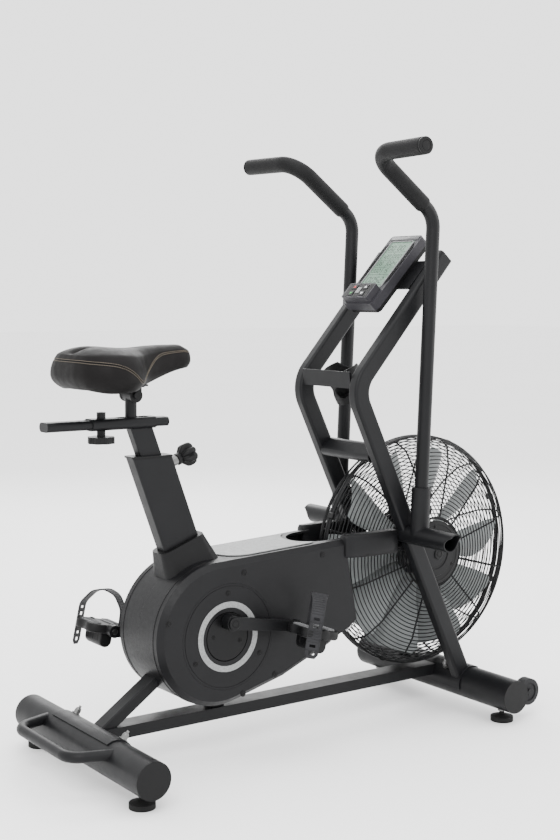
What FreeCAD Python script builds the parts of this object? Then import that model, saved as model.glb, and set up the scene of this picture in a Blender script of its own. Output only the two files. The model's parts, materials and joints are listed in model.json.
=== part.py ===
"""Air bike: a parametric FreeCAD model of an exercise bike braked by a fan.

The bike stands on the floor at Z = 0 and is symmetric about the plane Y = 0.
+X points from the saddle to the fan, +Y to the rider's left, +Z up.
All sizes are in millimetres.
"""
import FreeCAD, Part
import math
import os
import re
from FreeCAD import Placement, Rotation, Vector

SIZES = {
    # the X of the outer box's centre: every part is written with the origin moved there
    "centre_x": 49.5,
    # floor stabilisers and the beam between them
    "rear_x": -488, "front_x": 498, "bar_z": 66, "bar_r": 39, "bar_wall": 2.5,
    "bar_half": 272, "cap_t": 4, "plate_t": 3, "plate_half": 124,
    "beam_low": 70, "beam_high": 96, "beam_half": 25,
    "foot_y": 229, "foot_r": 27, "foot_t": 11,
    "lift_x": -592.5, "lift_z": 88, "lift_r": 11.5,
    "wheel_x": 572, "wheel_y": 235, "wheel_z": 60, "wheel_r": 32, "wheel_w": 22,
    # rear strut, crank bracket and seat tube
    "crank_x": -196, "crank_z": 272, "bracket_r": 26, "bracket_half": 46,
    "seat_lean": 20.4, "seat_top_x": -338, "seat_top_z": 665, "seat_tube_long": 388,
    "seat_tube_d": 90, "seat_tube_w": 38, "post_d": 50, "post_w": 25, "post_long": 230,
    "post_up": 100, "post_down": 45,
    # uprights
    "up_y": 105, "up_w": 30, "up_d": 42, "bend_x": 140, "bend_z": 800,
    "up_low_x": 478, "up_low_z": 90, "up_top_x": 405, "up_top_z": 1105,
    # hand arms
    "arm_x": 300, "arm_z": 452, "arm_y": 150, "arm_r": 16, "pivot_r": 22.5, "pivot_tip": 276,
    "socket_top": 566, "lever_long": 34, "lever_y": 75.5, "lever_t": 5.5, "lever_lead": 6, "rod_y": 84.5, "rod_eye_y": 67,
    "grip_r": 19.5, "arm_bend": 58,
    # fan and its cage
    "fan_x": 415, "fan_z": 388, "cage_r": 283, "hub_r": 79, "hub_y": 74, "wire_r": 1.6,
    "blade_count": 10, "blade_pitch": 35, "ring_gap": 9.5, "blade_in": 62, "blade_out": 262, "fan_pulley_r": 24,
    # housing
    "case_x": -210, "case_z": 278, "case_r": 157, "case_half": 90.6, "case_bevel": 12, "case_wall": 3,
    # cranks and pedals
    "throw": 34, "crank_long": 170, "crank_drop": 9.5, "crank_y": 112, "crank_t": 12,
    "pulley_r": 95, "belt_y": 81, "belt_w": 6, "belt_t": 3, "disc_r": 52, "cover_r": 116,
    "pedal_in": 130, "pedal_w": 92, "pedal_d": 100, "pedal_t": 22, "axle_r": 7, "strap_w": 30, "pedal_tilt": 12,
    # saddle and its rail
    "rail_z": 741, "rail_long": 286, "rail_mid_x": -442, "rail_d": 40, "rail_t": 20,
    "sleeve_back": -482, "sleeve_front": -330, "stem_x": -382, "stem_r": 12.5,
    "tilt_z": 800, "saddle_back": -540, "saddle_nose": -238, "saddle_w": 250,
    "saddle_low": 818, "saddle_high": 905,
    # console
    "console_mid_x": 318, "console_mid_z": 1062, "console_tilt": 46.5, "console_long": 226,
    "console_w": 116, "console_t": 34,
}
HOLE_CLEARANCE = 0.05      # radial gap of every running or sliding fit
SOFT_GAP = 0.3             # gap round grips and the cushion

doc = FreeCAD.newDocument("AirBike")
sheet = doc.addObject("Spreadsheet::Sheet", "Dims")
for row, (alias, value) in enumerate(SIZES.items(), 1):
    sheet.set(f"A{row}", alias)
    sheet.set(f"B{row}", str(value))
    sheet.setAlias(f"B{row}", alias)
doc.recompute()

NODES = {}
BEARINGS = []
MAIN_FRAME = []            # the welded pieces of the main frame, gathered as they are made


def dim(alias):
    return float(sheet.get(alias))


def expr(text):
    """Writes an expression on the sheet's aliases, such as 'rear_x + 5'."""
    return re.sub(r"[a-z_]+[a-z]", lambda m: "Dims." + m.group() if m.group() in SIZES else m.group(), text)


def bind(thing, **formulas):
    for prop, text in formulas.items():
        thing.setExpression(prop, expr(str(text)))


def place(thing, x=0, y=0, z=0, rotation=None):
    """Puts a shape at a point given by three expressions."""
    thing.Placement = Placement(Vector(), rotation or Rotation())
    for axis, text in (("x", x), ("y", y), ("z", z)):
        thing.setExpression(f".Placement.Base.{axis}", expr(str(text)))
    return thing


def new(kind, name="Shape"):
    return doc.addObject(kind, name)


def cylinder(radius, height, x=0, y=0, z=0, along="z", tilt=None):
    turn = {"z": Rotation(), "y": Rotation(Vector(1, 0, 0), -90), "x": Rotation(Vector(0, 1, 0), 90)}
    rod = new("Part::Cylinder", "Cylinder")
    bind(rod, Radius=radius, Height=height)
    return place(rod, x, y, z, tilt or turn[along])


def box(length, width, height, x=0, y=0, z=0, rotation=None):
    block = new("Part::Box", "Box")
    bind(block, Length=length, Width=width, Height=height)
    return place(block, x, y, z, rotation)


def cut(base, *tools):
    for tool in tools:
        step = new("Part::Cut", "Cut")
        step.Base, step.Tool = base, tool
        base = step
    return base


def fuse(*things):
    joined = new("Part::MultiFuse", "Fuse")
    joined.Shapes = list(things)
    return joined


def group(*things):
    together = new("Part::Compound", "Group")
    together.Links = list(things)
    return together


def mirrored(thing):
    other = new("Part::Mirroring", "Mirror")
    other.Source = thing
    other.Normal = Vector(0, 1, 0)
    return other


def feature(shape):
    """A shape made with Part's own functions, for sweeps, lofts and wire work."""
    thing = new("Part::Feature", "Made")
    thing.Shape = shape
    return thing


def node(label, thing):
    thing.Label = label
    NODES[label] = thing
    return thing


def node_pair(label, right_thing):
    """The right-hand piece (at -Y) and its mirror image on the left."""
    node(label + "_right", right_thing)
    node(label + "_left", mirrored(right_thing))


def both_sides(label, right_thing):
    """One node holding the right-hand piece and its mirror image."""
    node(label, group(right_thing, mirrored(right_thing)))


def polar(radius, degrees, centre=(0, 0)):
    turn = math.radians(degrees)
    return centre[0] + radius * math.cos(turn), centre[1] + radius * math.sin(turn)


def bent_path(points, bend):
    """Straight runs joined by tangent arcs of one radius."""
    points = [Vector(*p) for p in points]
    edges, start = [], points[0]
    for before, corner, after in zip(points, points[1:], points[2:]):
        back = (before - corner).normalize()
        ahead = (after - corner).normalize()
        half = back.getAngle(ahead) / 2
        reach = bend / math.tan(half)
        middle = corner + (back + ahead).normalize() * (bend / math.sin(half) - bend)
        first, last = corner + back * reach, corner + ahead * reach
        edges.append(Part.LineSegment(start, first).toShape())
        edges.append(Part.Arc(first, middle, last).toShape())
        start = last
    edges.append(Part.LineSegment(start, points[-1]).toShape())
    return Part.Wire(edges)


def round_bar(points, bend, radius, bore=0):
    """A bent round bar, or a tube when it has a bore."""
    path = bent_path(points, bend)
    start = Vector(*points[0])
    ahead = Vector(*points[1]) - start
    solids = []
    for size in (radius, bore):
        if size:
            ring = Part.Wire([Part.Circle(start, ahead, size).toShape()])
            solids.append(path.makePipeShell([ring], True, True))
    return solids[0].cut(solids[1]) if bore else solids[0]


def box_wire(width, depth, corner):
    """A rounded rectangle in its own XY plane, centred on the origin."""
    face = Part.makePlane(width, depth, Vector(-width / 2, -depth / 2, 0))
    solid = face.extrude(Vector(0, 0, 1))
    uprights = [e for e in solid.Edges if abs(e.Vertexes[0].Z - e.Vertexes[1].Z) > 0.5]
    solid = solid.makeFillet(corner, uprights)
    return [f for f in solid.Faces if abs(f.CenterOfMass.z) < 1e-6][0].OuterWire


def rounded_bar(width, depth, corner, long):
    """A rounded rectangular bar along Z, centred on the Z axis."""
    return Part.Face(box_wire(width, depth, corner)).extrude(Vector(0, 0, long))


def outline(points, thickness, y_from):
    """A flat plate: closed points in X and Z, extruded along +Y."""
    wire = Part.makePolygon([Vector(x, y_from, z) for x, z in points + points[:1]])
    return Part.Face(wire).extrude(Vector(0, thickness, 0))


def tube_saddle(x, first, last, y_half):
    """A curved plate wrapped on a floor tube between two angles."""
    inner, outer = dim("bar_r"), dim("bar_r") + dim("plate_t")
    ring = Part.makeCylinder(outer, 2 * y_half, Vector(x, -y_half, dim("bar_z")), Vector(0, 1, 0))
    hole = Part.makeCylinder(inner, 2 * y_half, Vector(x, -y_half, dim("bar_z")), Vector(0, 1, 0))
    reach = 3 * outer
    steps = [first + (last - first) * i / 6 for i in range(7)]
    fan = [(x, dim("bar_z"))] + [polar(reach, a, (x, dim("bar_z"))) for a in steps]
    return ring.cut(hole).common(outline(fan, 2 * y_half, -y_half))


# ---------------------------------------------------------------- base frame

def floor_bar(x_name):
    outer = cylinder("bar_r", "2 * bar_half", x_name, "-bar_half", "bar_z", "y")
    inner = cylinder("bar_r - bar_wall", "2 * bar_half", x_name, "-bar_half", "bar_z", "y")
    return cut(outer, inner)


def end_cap(x_name, side):
    y_face = f"{side} * bar_half" if side > 0 else "-bar_half - cap_t"
    y_plug = "bar_half - 12" if side > 0 else "-bar_half"
    face = cylinder("bar_r", "cap_t", x_name, y_face, "bar_z", "y")
    plug = cylinder("bar_r - bar_wall", "12", x_name, y_plug, "bar_z", "y")
    return fuse(face, plug)


def base_frame():
    """End caps, mount plates and main beam; returns the rear lift handle."""
    caps = [end_cap(x, side) for x in ("rear_x", "front_x") for side in (-1, 1)]
    node("stabiliser_end_caps", group(*caps))
    MAIN_FRAME.append(feature(tube_saddle(dim("rear_x"), -12, 121, dim("plate_half"))))
    MAIN_FRAME.append(feature(tube_saddle(dim("front_x"), 60, 196, dim("plate_half"))))
    beam = box("front_x - rear_x", "2 * beam_half", "beam_high - beam_low", "rear_x", "-beam_half", "beam_low")
    hollow = box("front_x - rear_x", "2 * beam_half - 5", "beam_high - beam_low - 5",
                 "rear_x", "-beam_half + 2.5", "beam_low + 2.5")
    ends = [cylinder("bar_r + plate_t", "2 * plate_half", x, "-plate_half", "bar_z", "y")
            for x in ("rear_x", "front_x")]
    MAIN_FRAME.append(cut(beam, hollow, *ends))
    x, z, side = dim("lift_x"), dim("lift_z"), 150
    route = [(dim("rear_x"), side + 5, z), (x, side - 30, z), (x, 30 - side, z), (dim("rear_x"), -side - 5, z)]
    handle = round_bar(route, 40, dim("lift_r"), dim("lift_r") - 2)
    tube = Part.makeCylinder(dim("bar_r"), 400, Vector(dim("rear_x"), -200, dim("bar_z")), Vector(0, 1, 0))
    return feature(handle.cut(tube))


def dome_stud(x, y, degrees):
    """A stud, washer and dome nut standing on a mount plate."""
    base = dim("bar_r") + dim("plate_t")
    parts = Part.makeCylinder(10, 2, Vector(0, 0, base))
    hexagon = [polar(8, 60 * i) for i in range(7)]
    nut = Part.Face(Part.makePolygon([Vector(px, py, base + 2) for px, py in hexagon]))
    parts = parts.fuse(nut.extrude(Vector(0, 0, 8)))
    dome = Part.makeSphere(6.5, Vector(0, 0, base + 10))
    parts = parts.fuse(dome).fuse(Part.makeCylinder(3, 6, Vector(0, 0, base + 14))).removeSplitter()
    parts = parts.cut(Part.makeCylinder(base, 80, Vector(0, -40, 0), Vector(0, 1, 0)))
    parts.Placement = Placement(Vector(x, y, dim("bar_z")), Rotation(Vector(0, 1, 0), 90 - degrees))
    return feature(parts)


def fasteners():
    studs = [dome_stud(dim("rear_x"), y, 52) for y in (-106, 106)]
    studs += [dome_stud(dim("front_x"), y, 128) for y in (-62, 62)]
    return studs


def levelling_foot(x_name, side):
    y = f"{side} * foot_y"
    pad = cylinder("foot_r", "foot_t", x_name, y, "0")
    stem = cylinder("6", "bar_z - bar_r + 14 - foot_t", x_name, y, "foot_t")
    cone = new("Part::Cone", "Cone")
    bind(cone, Radius1="foot_r - 4", Radius2="9", Height="5")
    place(cone, x_name, y, "foot_t")
    return fuse(pad, stem, cone)


def feet():
    places = {"rear_right": ("rear_x", -1), "rear_left": ("rear_x", 1),
              "front_right": ("front_x", -1), "front_left": ("front_x", 1)}
    for name, (x_name, side) in places.items():
        node("foot_" + name, levelling_foot(x_name, side))
    bosses = []
    for x_name, side in places.values():
        y = f"{side} * foot_y"
        boss = cylinder("10", "bar_r", x_name, y, "bar_z - bar_r - 3")
        hole = cylinder(f"6 + {HOLE_CLEARANCE}", "bar_r", x_name, y, "bar_z - bar_r - 3")
        wall = cylinder("bar_r", "60", x_name, f"{y} - 30", "bar_z", "y")
        inner = cylinder("bar_r - bar_wall", "60", x_name, f"{y} - 30", "bar_z", "y")
        lower = cut(boss, hole, wall)
        upper = new("Part::Common", "Common")
        upper.Base, upper.Tool = cut(cylinder("12", "22", x_name, y, "bar_z - bar_r"),
                                     cylinder("7", "22", x_name, y, "bar_z - bar_r")), inner
        bosses += [lower, upper]
    return bosses


def drilled_bar(x_name):
    """A floor tube with a hole for each foot's stem."""
    drills = [cylinder("6.5", "20", x_name, f"{side} * foot_y", "bar_z - bar_r - 4") for side in (-1, 1)]
    return cut(floor_bar(x_name), *drills)


def transport_wheels():
    wheel = cylinder("wheel_r", "wheel_w", "wheel_x", "-wheel_y - wheel_w / 2", "wheel_z", "y")
    bore = cylinder(f"6 + {HOLE_CLEARANCE}", "wheel_w", "wheel_x", "-wheel_y - wheel_w / 2", "wheel_z", "y")
    dish = cylinder("wheel_r - 10", "3", "wheel_x", "-wheel_y - wheel_w / 2", "wheel_z", "y")
    node_pair("transport_wheel", cut(wheel, bore, dish))
    axle = cylinder("6", "wheel_w + 8", "wheel_x", "-wheel_y - wheel_w / 2 - 2", "wheel_z", "y")
    head = cylinder("9", "3", "wheel_x", "-wheel_y - wheel_w / 2 - 5", "wheel_z", "y")
    arm = box("wheel_x - front_x + 14", "6", "28", "front_x", "-wheel_y + wheel_w / 2 + 1", "wheel_z - 14")
    tube = cylinder("bar_r", "60", "front_x", "-wheel_y - 20", "bar_z", "y")
    hole = cylinder("6", "20", "wheel_x", "-wheel_y", "wheel_z", "y")
    bracket, pin = cut(arm, tube, hole), fuse(axle, head)
    return [bracket, pin, mirrored(bracket), mirrored(pin)]


# ------------------------------------------------- strut, bracket, seat tube

def lean():
    return Rotation(Vector(0, 1, 0), -dim("seat_lean"))


def seat_axis_point(down):
    """A point on the seat tube's centre line, measured down from its top."""
    tilt = math.radians(dim("seat_lean"))
    return dim("seat_top_x") + down * math.sin(tilt), dim("seat_top_z") - down * math.cos(tilt)


def on_seat_axis(shape, down):
    x, z = seat_axis_point(down)
    shape.Placement = Placement(Vector(x, 0, z), lean())
    return shape


def frame_uprights_and_strut():
    x, z = dim("crank_x"), dim("crank_z")
    bracket = cut(cylinder("bracket_r", "2 * bracket_half", "crank_x", "-bracket_half", "crank_z", "y"),
                  cylinder("bracket_r - 4", "2 * bracket_half", "crank_x", "-bracket_half", "crank_z", "y"))
    MAIN_FRAME.append(bracket)
    start = Vector(dim("rear_x") + 10, 0, dim("bar_z") + 10)
    end = Vector(x, 0, z)
    run = end - start
    bar = rounded_bar(25, 40, 4, run.Length).cut(rounded_bar(20, 35, 2, run.Length))
    bar.Placement = Placement(start, Rotation(Vector(0, 0, 1), run))
    plate_r = dim("bar_r") + dim("plate_t")
    tube = Part.makeCylinder(plate_r, 200, Vector(dim("rear_x"), -100, dim("bar_z")), Vector(0, 1, 0))
    shell = Part.makeCylinder(dim("bracket_r"), 200, Vector(x, -100, z), Vector(0, 1, 0))
    beam = Part.makeBox(900, 200, 200, Vector(dim("rear_x"), -100, dim("beam_high") - 200))
    strut = bar.cut(tube).cut(shell).cut(beam)
    MAIN_FRAME.append(feature(strut))
    post = rounded_bar(34, 34, 4, z - dim("beam_high")).cut(rounded_bar(29, 29, 2, z - dim("beam_high")))
    post.Placement = Placement(Vector(x + 24, 0, dim("beam_high")), Rotation())
    MAIN_FRAME.append(feature(post.cut(shell).cut(bar)))
    long, depth, width = dim("seat_tube_long"), dim("seat_tube_d"), dim("seat_tube_w")
    above = Part.makeBox(400, 200, 200, Vector(dim("seat_top_x") - 200, -100, dim("seat_top_z")))
    tube_shape = rounded_bar(depth, width, 5, long + 30).cut(rounded_bar(depth - 6, width - 6, 3, long + 30))
    on_seat_axis(tube_shape, long)
    tube_shape = tube_shape.cut(above)
    pin_x, pin_z = seat_axis_point(34)
    drill = Part.makeCylinder(9, 80, Vector(pin_x, 0, pin_z), lean().multVec(Vector(1, 0, 0)))
    node("seat_tube", feature(tube_shape.cut(shell).cut(bar).cut(drill)))
    gap = HOLE_CLEARANCE
    passage = rounded_bar(dim("post_d") + 2 * gap, dim("post_w") + 2 * gap, 3 + gap, 160)
    sleeve = rounded_bar(depth - 6, width - 6, 3, 160)
    lip = rounded_bar(depth + 4, width + 4, 6, 160)
    for shape in (passage, sleeve, lip):
        on_seat_axis(shape, 110)
    lip = lip.common(above).cut(above.translated(Vector(0, 0, 4)))
    bush = sleeve.cut(above).fuse(lip).removeSplitter().cut(passage)
    node("seat_tube_bush", feature(bush.cut(drill)))


def seat_post_parts():
    """The sliding post, its cross sleeve and the knobs."""
    post = rounded_bar(dim("post_d"), dim("post_w"), 3, dim("post_long"))
    post = post.cut(rounded_bar(dim("post_d") - 5, dim("post_w") - 5, 2, dim("post_long")))
    on_seat_axis(post, dim("post_long") - 78)
    below = Part.makeBox(400, 100, 60, Vector(-600, -50, dim("rail_z") - dim("rail_t") / 2 - 2.5))
    slot = Part.makeBox(60, 8.6, dim("post_up") + dim("post_down") + 10, Vector(0, -4.3, 0))
    on_seat_axis(slot, 34 + dim("post_up") + 5)
    node("seat_post", feature(post.cut(below).cut(slot)))
    sleeve_long = dim("sleeve_front") - dim("sleeve_back")
    outer = oval_bar(dim("rail_d") + 5, dim("rail_t") + 5, sleeve_long)
    inner = oval_bar(dim("rail_d") + 2 * HOLE_CLEARANCE, dim("rail_t") + 2 * HOLE_CLEARANCE, sleeve_long)
    sleeve = outer.cut(inner)
    sleeve.Placement = Placement(Vector(dim("sleeve_back"), 0, dim("rail_z")), Rotation(Vector(0, 1, 0), 90))
    slot = Part.makeBox(74, 27, 30, Vector(dim("stem_x") - 37, -13.5, dim("rail_z")))
    bolt = Part.makeCylinder(5, 80, Vector(knob_x(), 0, dim("rail_z") - 40))
    top = dim("rail_z") + dim("rail_t") / 2 + 2.5
    boss = Part.makeCylinder(9.5, 13, Vector(knob_x(), 0, top)).cut(bolt)
    node("rail_sleeve", feature(sleeve.cut(slot).cut(bolt).fuse(boss)))


def knob_x():
    return dim("sleeve_back") + 29


def oval_bar(depth, thick, long):
    """A flat oval bar along Z: thick in X, deep in Y."""
    return rounded_bar(thick, depth, thick / 2 - 0.01, long)


def rail_parts():
    """The fore and aft rail, its end plugs and the saddle stem on it."""
    long, mid = dim("rail_long"), dim("rail_mid_x")
    rail = oval_bar(dim("rail_d"), dim("rail_t"), long - 16)
    rail = rail.cut(oval_bar(dim("rail_d") - 5, dim("rail_t") - 5, long - 16))
    rail.Placement = Placement(Vector(mid - long / 2 + 8, 0, dim("rail_z")), Rotation(Vector(0, 1, 0), 90))
    slot = Part.makeBox(84, 12, 40, Vector(knob_x() - 42, -6, dim("rail_z") - 20))
    stem_hole = Part.makeCylinder(dim("stem_r"), 20, Vector(dim("stem_x"), 0, dim("rail_z")))
    rail_tube = feature(rail.cut(slot).cut(stem_hole))
    plugs = []
    for start in (mid - long / 2, mid + long / 2 - 8):
        plug = oval_bar(dim("rail_d"), dim("rail_t"), 8)
        plug.Placement = Placement(Vector(start, 0, dim("rail_z")), Rotation(Vector(0, 1, 0), 90))
        plugs.append(plug)
    end_plugs = feature(Part.makeCompound(plugs))
    stem = cylinder("stem_r", "tilt_z - rail_z - 10", "stem_x", "0", "rail_z")
    head = cylinder("14", "34", "stem_x", "-17", "tilt_z", "y")
    neck = cylinder("stem_r", "12", "stem_x", "0", "tilt_z - 12")
    bore = cylinder(f"4 + {HOLE_CLEARANCE}", "34", "stem_x", "-17", "tilt_z", "y")
    node("saddle_rail", group(rail_tube, end_plugs, cut(fuse(stem, neck, head), bore)))


def seat_knobs():
    """The rail knob underneath and the pull pin on the seat tube."""
    low = dim("rail_z") - dim("rail_t") / 2 - 2.5
    stem = Part.makeCylinder(9, 13, Vector(knob_x(), 0, low - 13.5))
    disc = lobed_knob(29, 8, 14)
    disc.Placement = Placement(Vector(knob_x(), 0, low - 27.5), Rotation())
    screw = Part.makeCylinder(4.9, 40, Vector(knob_x(), 0, low - 14))
    node("rail_knob", feature(stem.fuse([disc, screw]).removeSplitter()))
    x, z = seat_axis_point(34)
    ahead = Rotation(Vector(0, 1, 0), 90 - dim("seat_lean"))
    face = dim("seat_tube_d") / 2
    collar = Part.makeCylinder(11, 16, Vector(0, 0, face)).cut(Part.makeCylinder(5 + HOLE_CLEARANCE, 2 * face))
    collar.Placement = Placement(Vector(x, 0, z), ahead)
    pin = Part.makeCylinder(5, face + 20 - 29, Vector(0, 0, 29)).fuse(Part.makeCylinder(4, 10, Vector(0, 0, 20)))
    grip = Part.makeCylinder(24, 34, Vector(0, 0, face + 27))
    grip = grip.makeFillet(10, [e for e in grip.Edges if len(e.Vertexes) == 1])
    neck = Part.makeCylinder(12, 12, Vector(0, 0, face + 16.5))
    knob = pin.fuse([neck, grip]).removeSplitter()
    knob.Placement = Placement(Vector(x, 0, z), ahead)
    node("pull_pin_knob", feature(knob))
    return feature(collar)


def lobed_knob(radius, lobes, thick):
    body = Part.makeCylinder(radius - 3, thick)
    grips = [Part.makeCylinder(8, thick, Vector(*polar(radius - 8, 360 * i / lobes), 0)) for i in range(lobes)]
    return body.fuse(grips).removeSplitter()


def saddle_parts():
    """A plain cushion on a base pan, and the clamp that tilts on the stem head."""
    back, nose, wide = dim("saddle_back"), dim("saddle_nose"), dim("saddle_w")
    low, high = dim("saddle_low"), dim("saddle_high")

    half = wide / 2
    points = [(back, 0), (back + 14, half * 0.64), (back + 74, half), (back + 150, half * 0.72),
              (back + 210, 44), (nose - 30, 32), (nose, 0)]
    line = [Vector(x, y, low + 1) for x, y in points] + [Vector(x, -y, low + 1) for x, y in points[-2:0:-1]]
    curve = Part.BSplineCurve()
    curve.interpolate(line, PeriodicFlag=True)
    cushion = Part.Face(Part.Wire([curve.toShape()])).extrude(Vector(0, 0, high - low - 1))
    tunnel = Part.makeBox(60, 60, 8, Vector(dim("stem_x") - 30, -30, low - 2))
    node("saddle_cushion", feature(cushion.cut(tunnel)))
    pan = Part.makeBox(54, 54, 4, Vector(dim("stem_x") - 27, -27, low + 1))
    x, z = dim("stem_x"), dim("tilt_z")
    cheeks = []
    for y_low in (-24, 18):
        cheek = Part.makeCylinder(15, 6, Vector(x, y_low, z), Vector(0, 1, 0))
        cheek = cheek.fuse(Part.makeBox(26, 6, low - z, Vector(x - 13, y_low, z))).removeSplitter()
        cheeks.append(cheek)
    top = Part.makeBox(40, 48, 2, Vector(x - 20, -24, low - 1.0))
    bolt = Part.makeCylinder(4, 60, Vector(x, -30, z), Vector(0, 1, 0))
    clamp = cheeks[0].fuse([cheeks[1], top]).removeSplitter().cut(bolt)
    nuts = [Part.makeCylinder(8, 6, Vector(x, y_low, z), Vector(0, 1, 0)) for y_low in (-30, 24)]
    node("saddle_clamp", feature(Part.makeCompound([clamp, pan, bolt.fuse(nuts).removeSplitter()])))


# -------------------------------------------------------------------- uprights

def upright_points():
    return [(dim("up_low_x"), dim("up_low_z")), (dim("bend_x"), dim("bend_z")), (dim("up_top_x"), dim("up_top_z"))]


def upright_x(z):
    """The centre line's X on the lower leg, at a height."""
    slope = (dim("bend_x") - dim("up_low_x")) / (dim("bend_z") - dim("up_low_z"))
    return dim("up_low_x") + slope * (z - dim("up_low_z"))


def upright(y):
    points = [(px, y, pz) for px, pz in upright_points()]
    path = bent_path(points, 70)
    start, ahead = Vector(*points[0]), Vector(*points[1]) - Vector(*points[0])
    solids = []
    for trim in (0, 2.5):
        wire = box_wire(dim("up_d") - 2 * trim, dim("up_w") - 2 * trim, 7 - trim)
        turn = Rotation(Vector(0, 0, 1), ahead)
        wire.Placement = Placement(start, turn)
        solids.append(path.makePipeShell([wire], True, True))
    foot_tube = Part.makeCylinder(dim("bar_r") + dim("plate_t"), 80, Vector(dim("front_x"), y - 40, dim("bar_z")),
                                  Vector(0, 1, 0))
    pivot = Part.makeCylinder(dim("pivot_r") + HOLE_CLEARANCE, 80, Vector(dim("arm_x"), y - 40, dim("arm_z")),
                              Vector(0, 1, 0))
    return solids[0].cut(solids[1]).cut(foot_tube).cut(pivot)


def uprights():
    right = feature(upright(-dim("up_y")))
    inner_face = dim("up_y") - dim("up_w") / 2
    plate = Part.makeBox(5, 2 * inner_face, 38, Vector(-2.5, -inner_face, -19))
    plate.Placement = Placement(Vector(upright_x(812) + 6, 0, 818), Rotation(Vector(0, 1, 0), -6))
    plate = feature(plate)
    bar = rounded_bar(26, 46, 10, 2 * inner_face).cut(rounded_bar(21, 41, 8, 2 * inner_face))
    bar.Placement = Placement(Vector(upright_x(646), -inner_face, 646),
                              Rotation(Vector(1, 0, 0), -90).multiply(Rotation(Vector(0, 0, 1), 40)))
    return [right, mirrored(right), plate, feature(bar)]


# ------------------------------------------------------------------- hand arms

def hand_arm():
    """Socket, pivot tube with foot peg, lever and bent arm of the right side."""
    x, z, y = dim("arm_x"), dim("arm_z"), -dim("arm_y")
    inner_end = -(dim("lever_y") + dim("lever_t"))
    pivot = Part.makeCylinder(dim("pivot_r"), dim("pivot_tip") + inner_end, Vector(x, -dim("pivot_tip"), z),
                              Vector(0, 1, 0))
    scallop = Part.makeCylinder(26, 80, Vector(x - 40, -dim("pivot_tip") - 7, z - 12), Vector(1, 0, 0))
    bore = Part.makeCylinder(dim("pivot_r") - 3, dim("pivot_tip") + inner_end - 4,
                             Vector(x, -dim("pivot_tip"), z), Vector(0, 1, 0)).fuse(scallop)
    top = dim("socket_top")
    bend_point = Vector(333, y, 1196)
    lean_back = Rotation(Vector(0, 0, 1), bend_point - Vector(x, y, z))
    socket = Part.makeCylinder(dim("pivot_r"), top - z, Vector()).cut(
        Part.makeCylinder(dim("arm_r"), top - z, Vector()))
    socket.Placement = Placement(Vector(x, y, z), lean_back)
    sleeve = Part.makeCylinder(dim("pivot_r"), 100, Vector(x, y - 50, z), Vector(0, 1, 0))
    weldment = pivot.cut(bore).fuse(socket.cut(sleeve)).fuse(arm_lever())
    base = Vector(x, y, z) + lean_back.multVec(Vector(0, 0, 42))
    route = [tuple(base), tuple(bend_point), (156, y, 1328), (147, -330, 1330)]
    arm = round_bar(route, dim("arm_bend"), dim("arm_r"), dim("arm_r") - 2)
    node_pair("hand_arm", feature(arm))
    grip_route = arm_grip_route(route)
    grip = round_bar(grip_route, dim("arm_bend"), dim("grip_r"))
    core = round_bar(route, dim("arm_bend"), dim("arm_r") + HOLE_CLEARANCE)
    end = Vector(*route[-1])
    ahead = (end - Vector(*route[-2])).normalize()
    cap = Part.makeCylinder(dim("grip_r"), 4, end, ahead)
    node_pair("hand_grip", feature(Part.makeCompound([grip.cut(core), cap])))
    bolts = []
    for height in (60, 96):
        bolt = Part.makeCylinder(5, 5, Vector(0, -dim("pivot_r") - 3, height), Vector(0, 1, 0))
        washer = Part.makeCylinder(9, 3, Vector(0, -dim("pivot_r") - 1, height), Vector(0, 1, 0))
        keep = Part.makeCylinder(dim("pivot_r"), top - z + 20, Vector())
        bolts.append(bolt.fuse(washer).cut(keep).removeSplitter())
    heads = Part.makeCompound(bolts)
    heads.Placement = Placement(Vector(x, y, z), lean_back.multiply(Rotation(Vector(0, 0, 1), 60)))
    node_pair("arm_pivot", feature(Part.makeCompound([weldment, heads])))


def arm_grip_route(route):
    """The grip covers the arm from just past its first bend to its end."""
    bend, corner = Vector(*route[1]), Vector(*route[2])
    return [tuple(bend + (corner - bend).normalize() * 36)] + route[2:]


def lever_end():
    return dim("arm_x") + dim("lever_lead"), dim("arm_z") - dim("lever_long")


def arm_lever():
    """The lever and its pin on the right pivot tube's inner end."""
    x, z, thick = dim("arm_x"), dim("arm_z"), dim("lever_t")
    low = -dim("lever_y") - thick
    end_x, end_z = lever_end()
    plate = outline([(x - 14, z), (x + 14, z), (end_x + 10, end_z), (end_x - 10, end_z)], thick, low)
    disc = Part.makeCylinder(20, thick, Vector(x, low, z), Vector(0, 1, 0))
    toe = Part.makeCylinder(11, thick, Vector(end_x, low, end_z), Vector(0, 1, 0))
    pin = Part.makeCylinder(5, 7, Vector(end_x, low - 7, end_z), Vector(0, 1, 0))
    return plate.fuse([disc, toe, pin]).removeSplitter()


def link_rod(side, name):
    """The rod from an arm's lever back to the crank pin."""
    end_x, end_z = lever_end()
    rod_y, eye_y = dim("rod_y"), dim("rod_eye_y")
    eye_z = dim("crank_z") - side * dim("throw")
    route = [(end_x, rod_y, end_z), (150, rod_y, end_z), (30, eye_y, end_z - 22), (dim("crank_x"), eye_y, eye_z)]
    bar = round_bar(route, 90, 3.2)
    front = Part.makeCylinder(10, 5.4, Vector(end_x, rod_y - 2.7, end_z), Vector(0, 1, 0))
    back = Part.makeCylinder(15, 8, Vector(dim("crank_x"), eye_y - 4, eye_z), Vector(0, 1, 0))
    bores = Part.makeCylinder(5 + HOLE_CLEARANCE, 20, Vector(end_x, rod_y - 10, end_z), Vector(0, 1, 0))
    eye = Part.makeCylinder(11, 20, Vector(dim("crank_x"), eye_y - 10, eye_z), Vector(0, 1, 0))
    rod = bar.fuse([front, back]).removeSplitter().cut(bores).cut(eye)
    if side < 0:
        rod = rod.mirror(Vector(), Vector(0, 1, 0))
    node("link_rod_" + name, feature(rod))


# -------------------------------------------------------------- fan and cage

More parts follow.
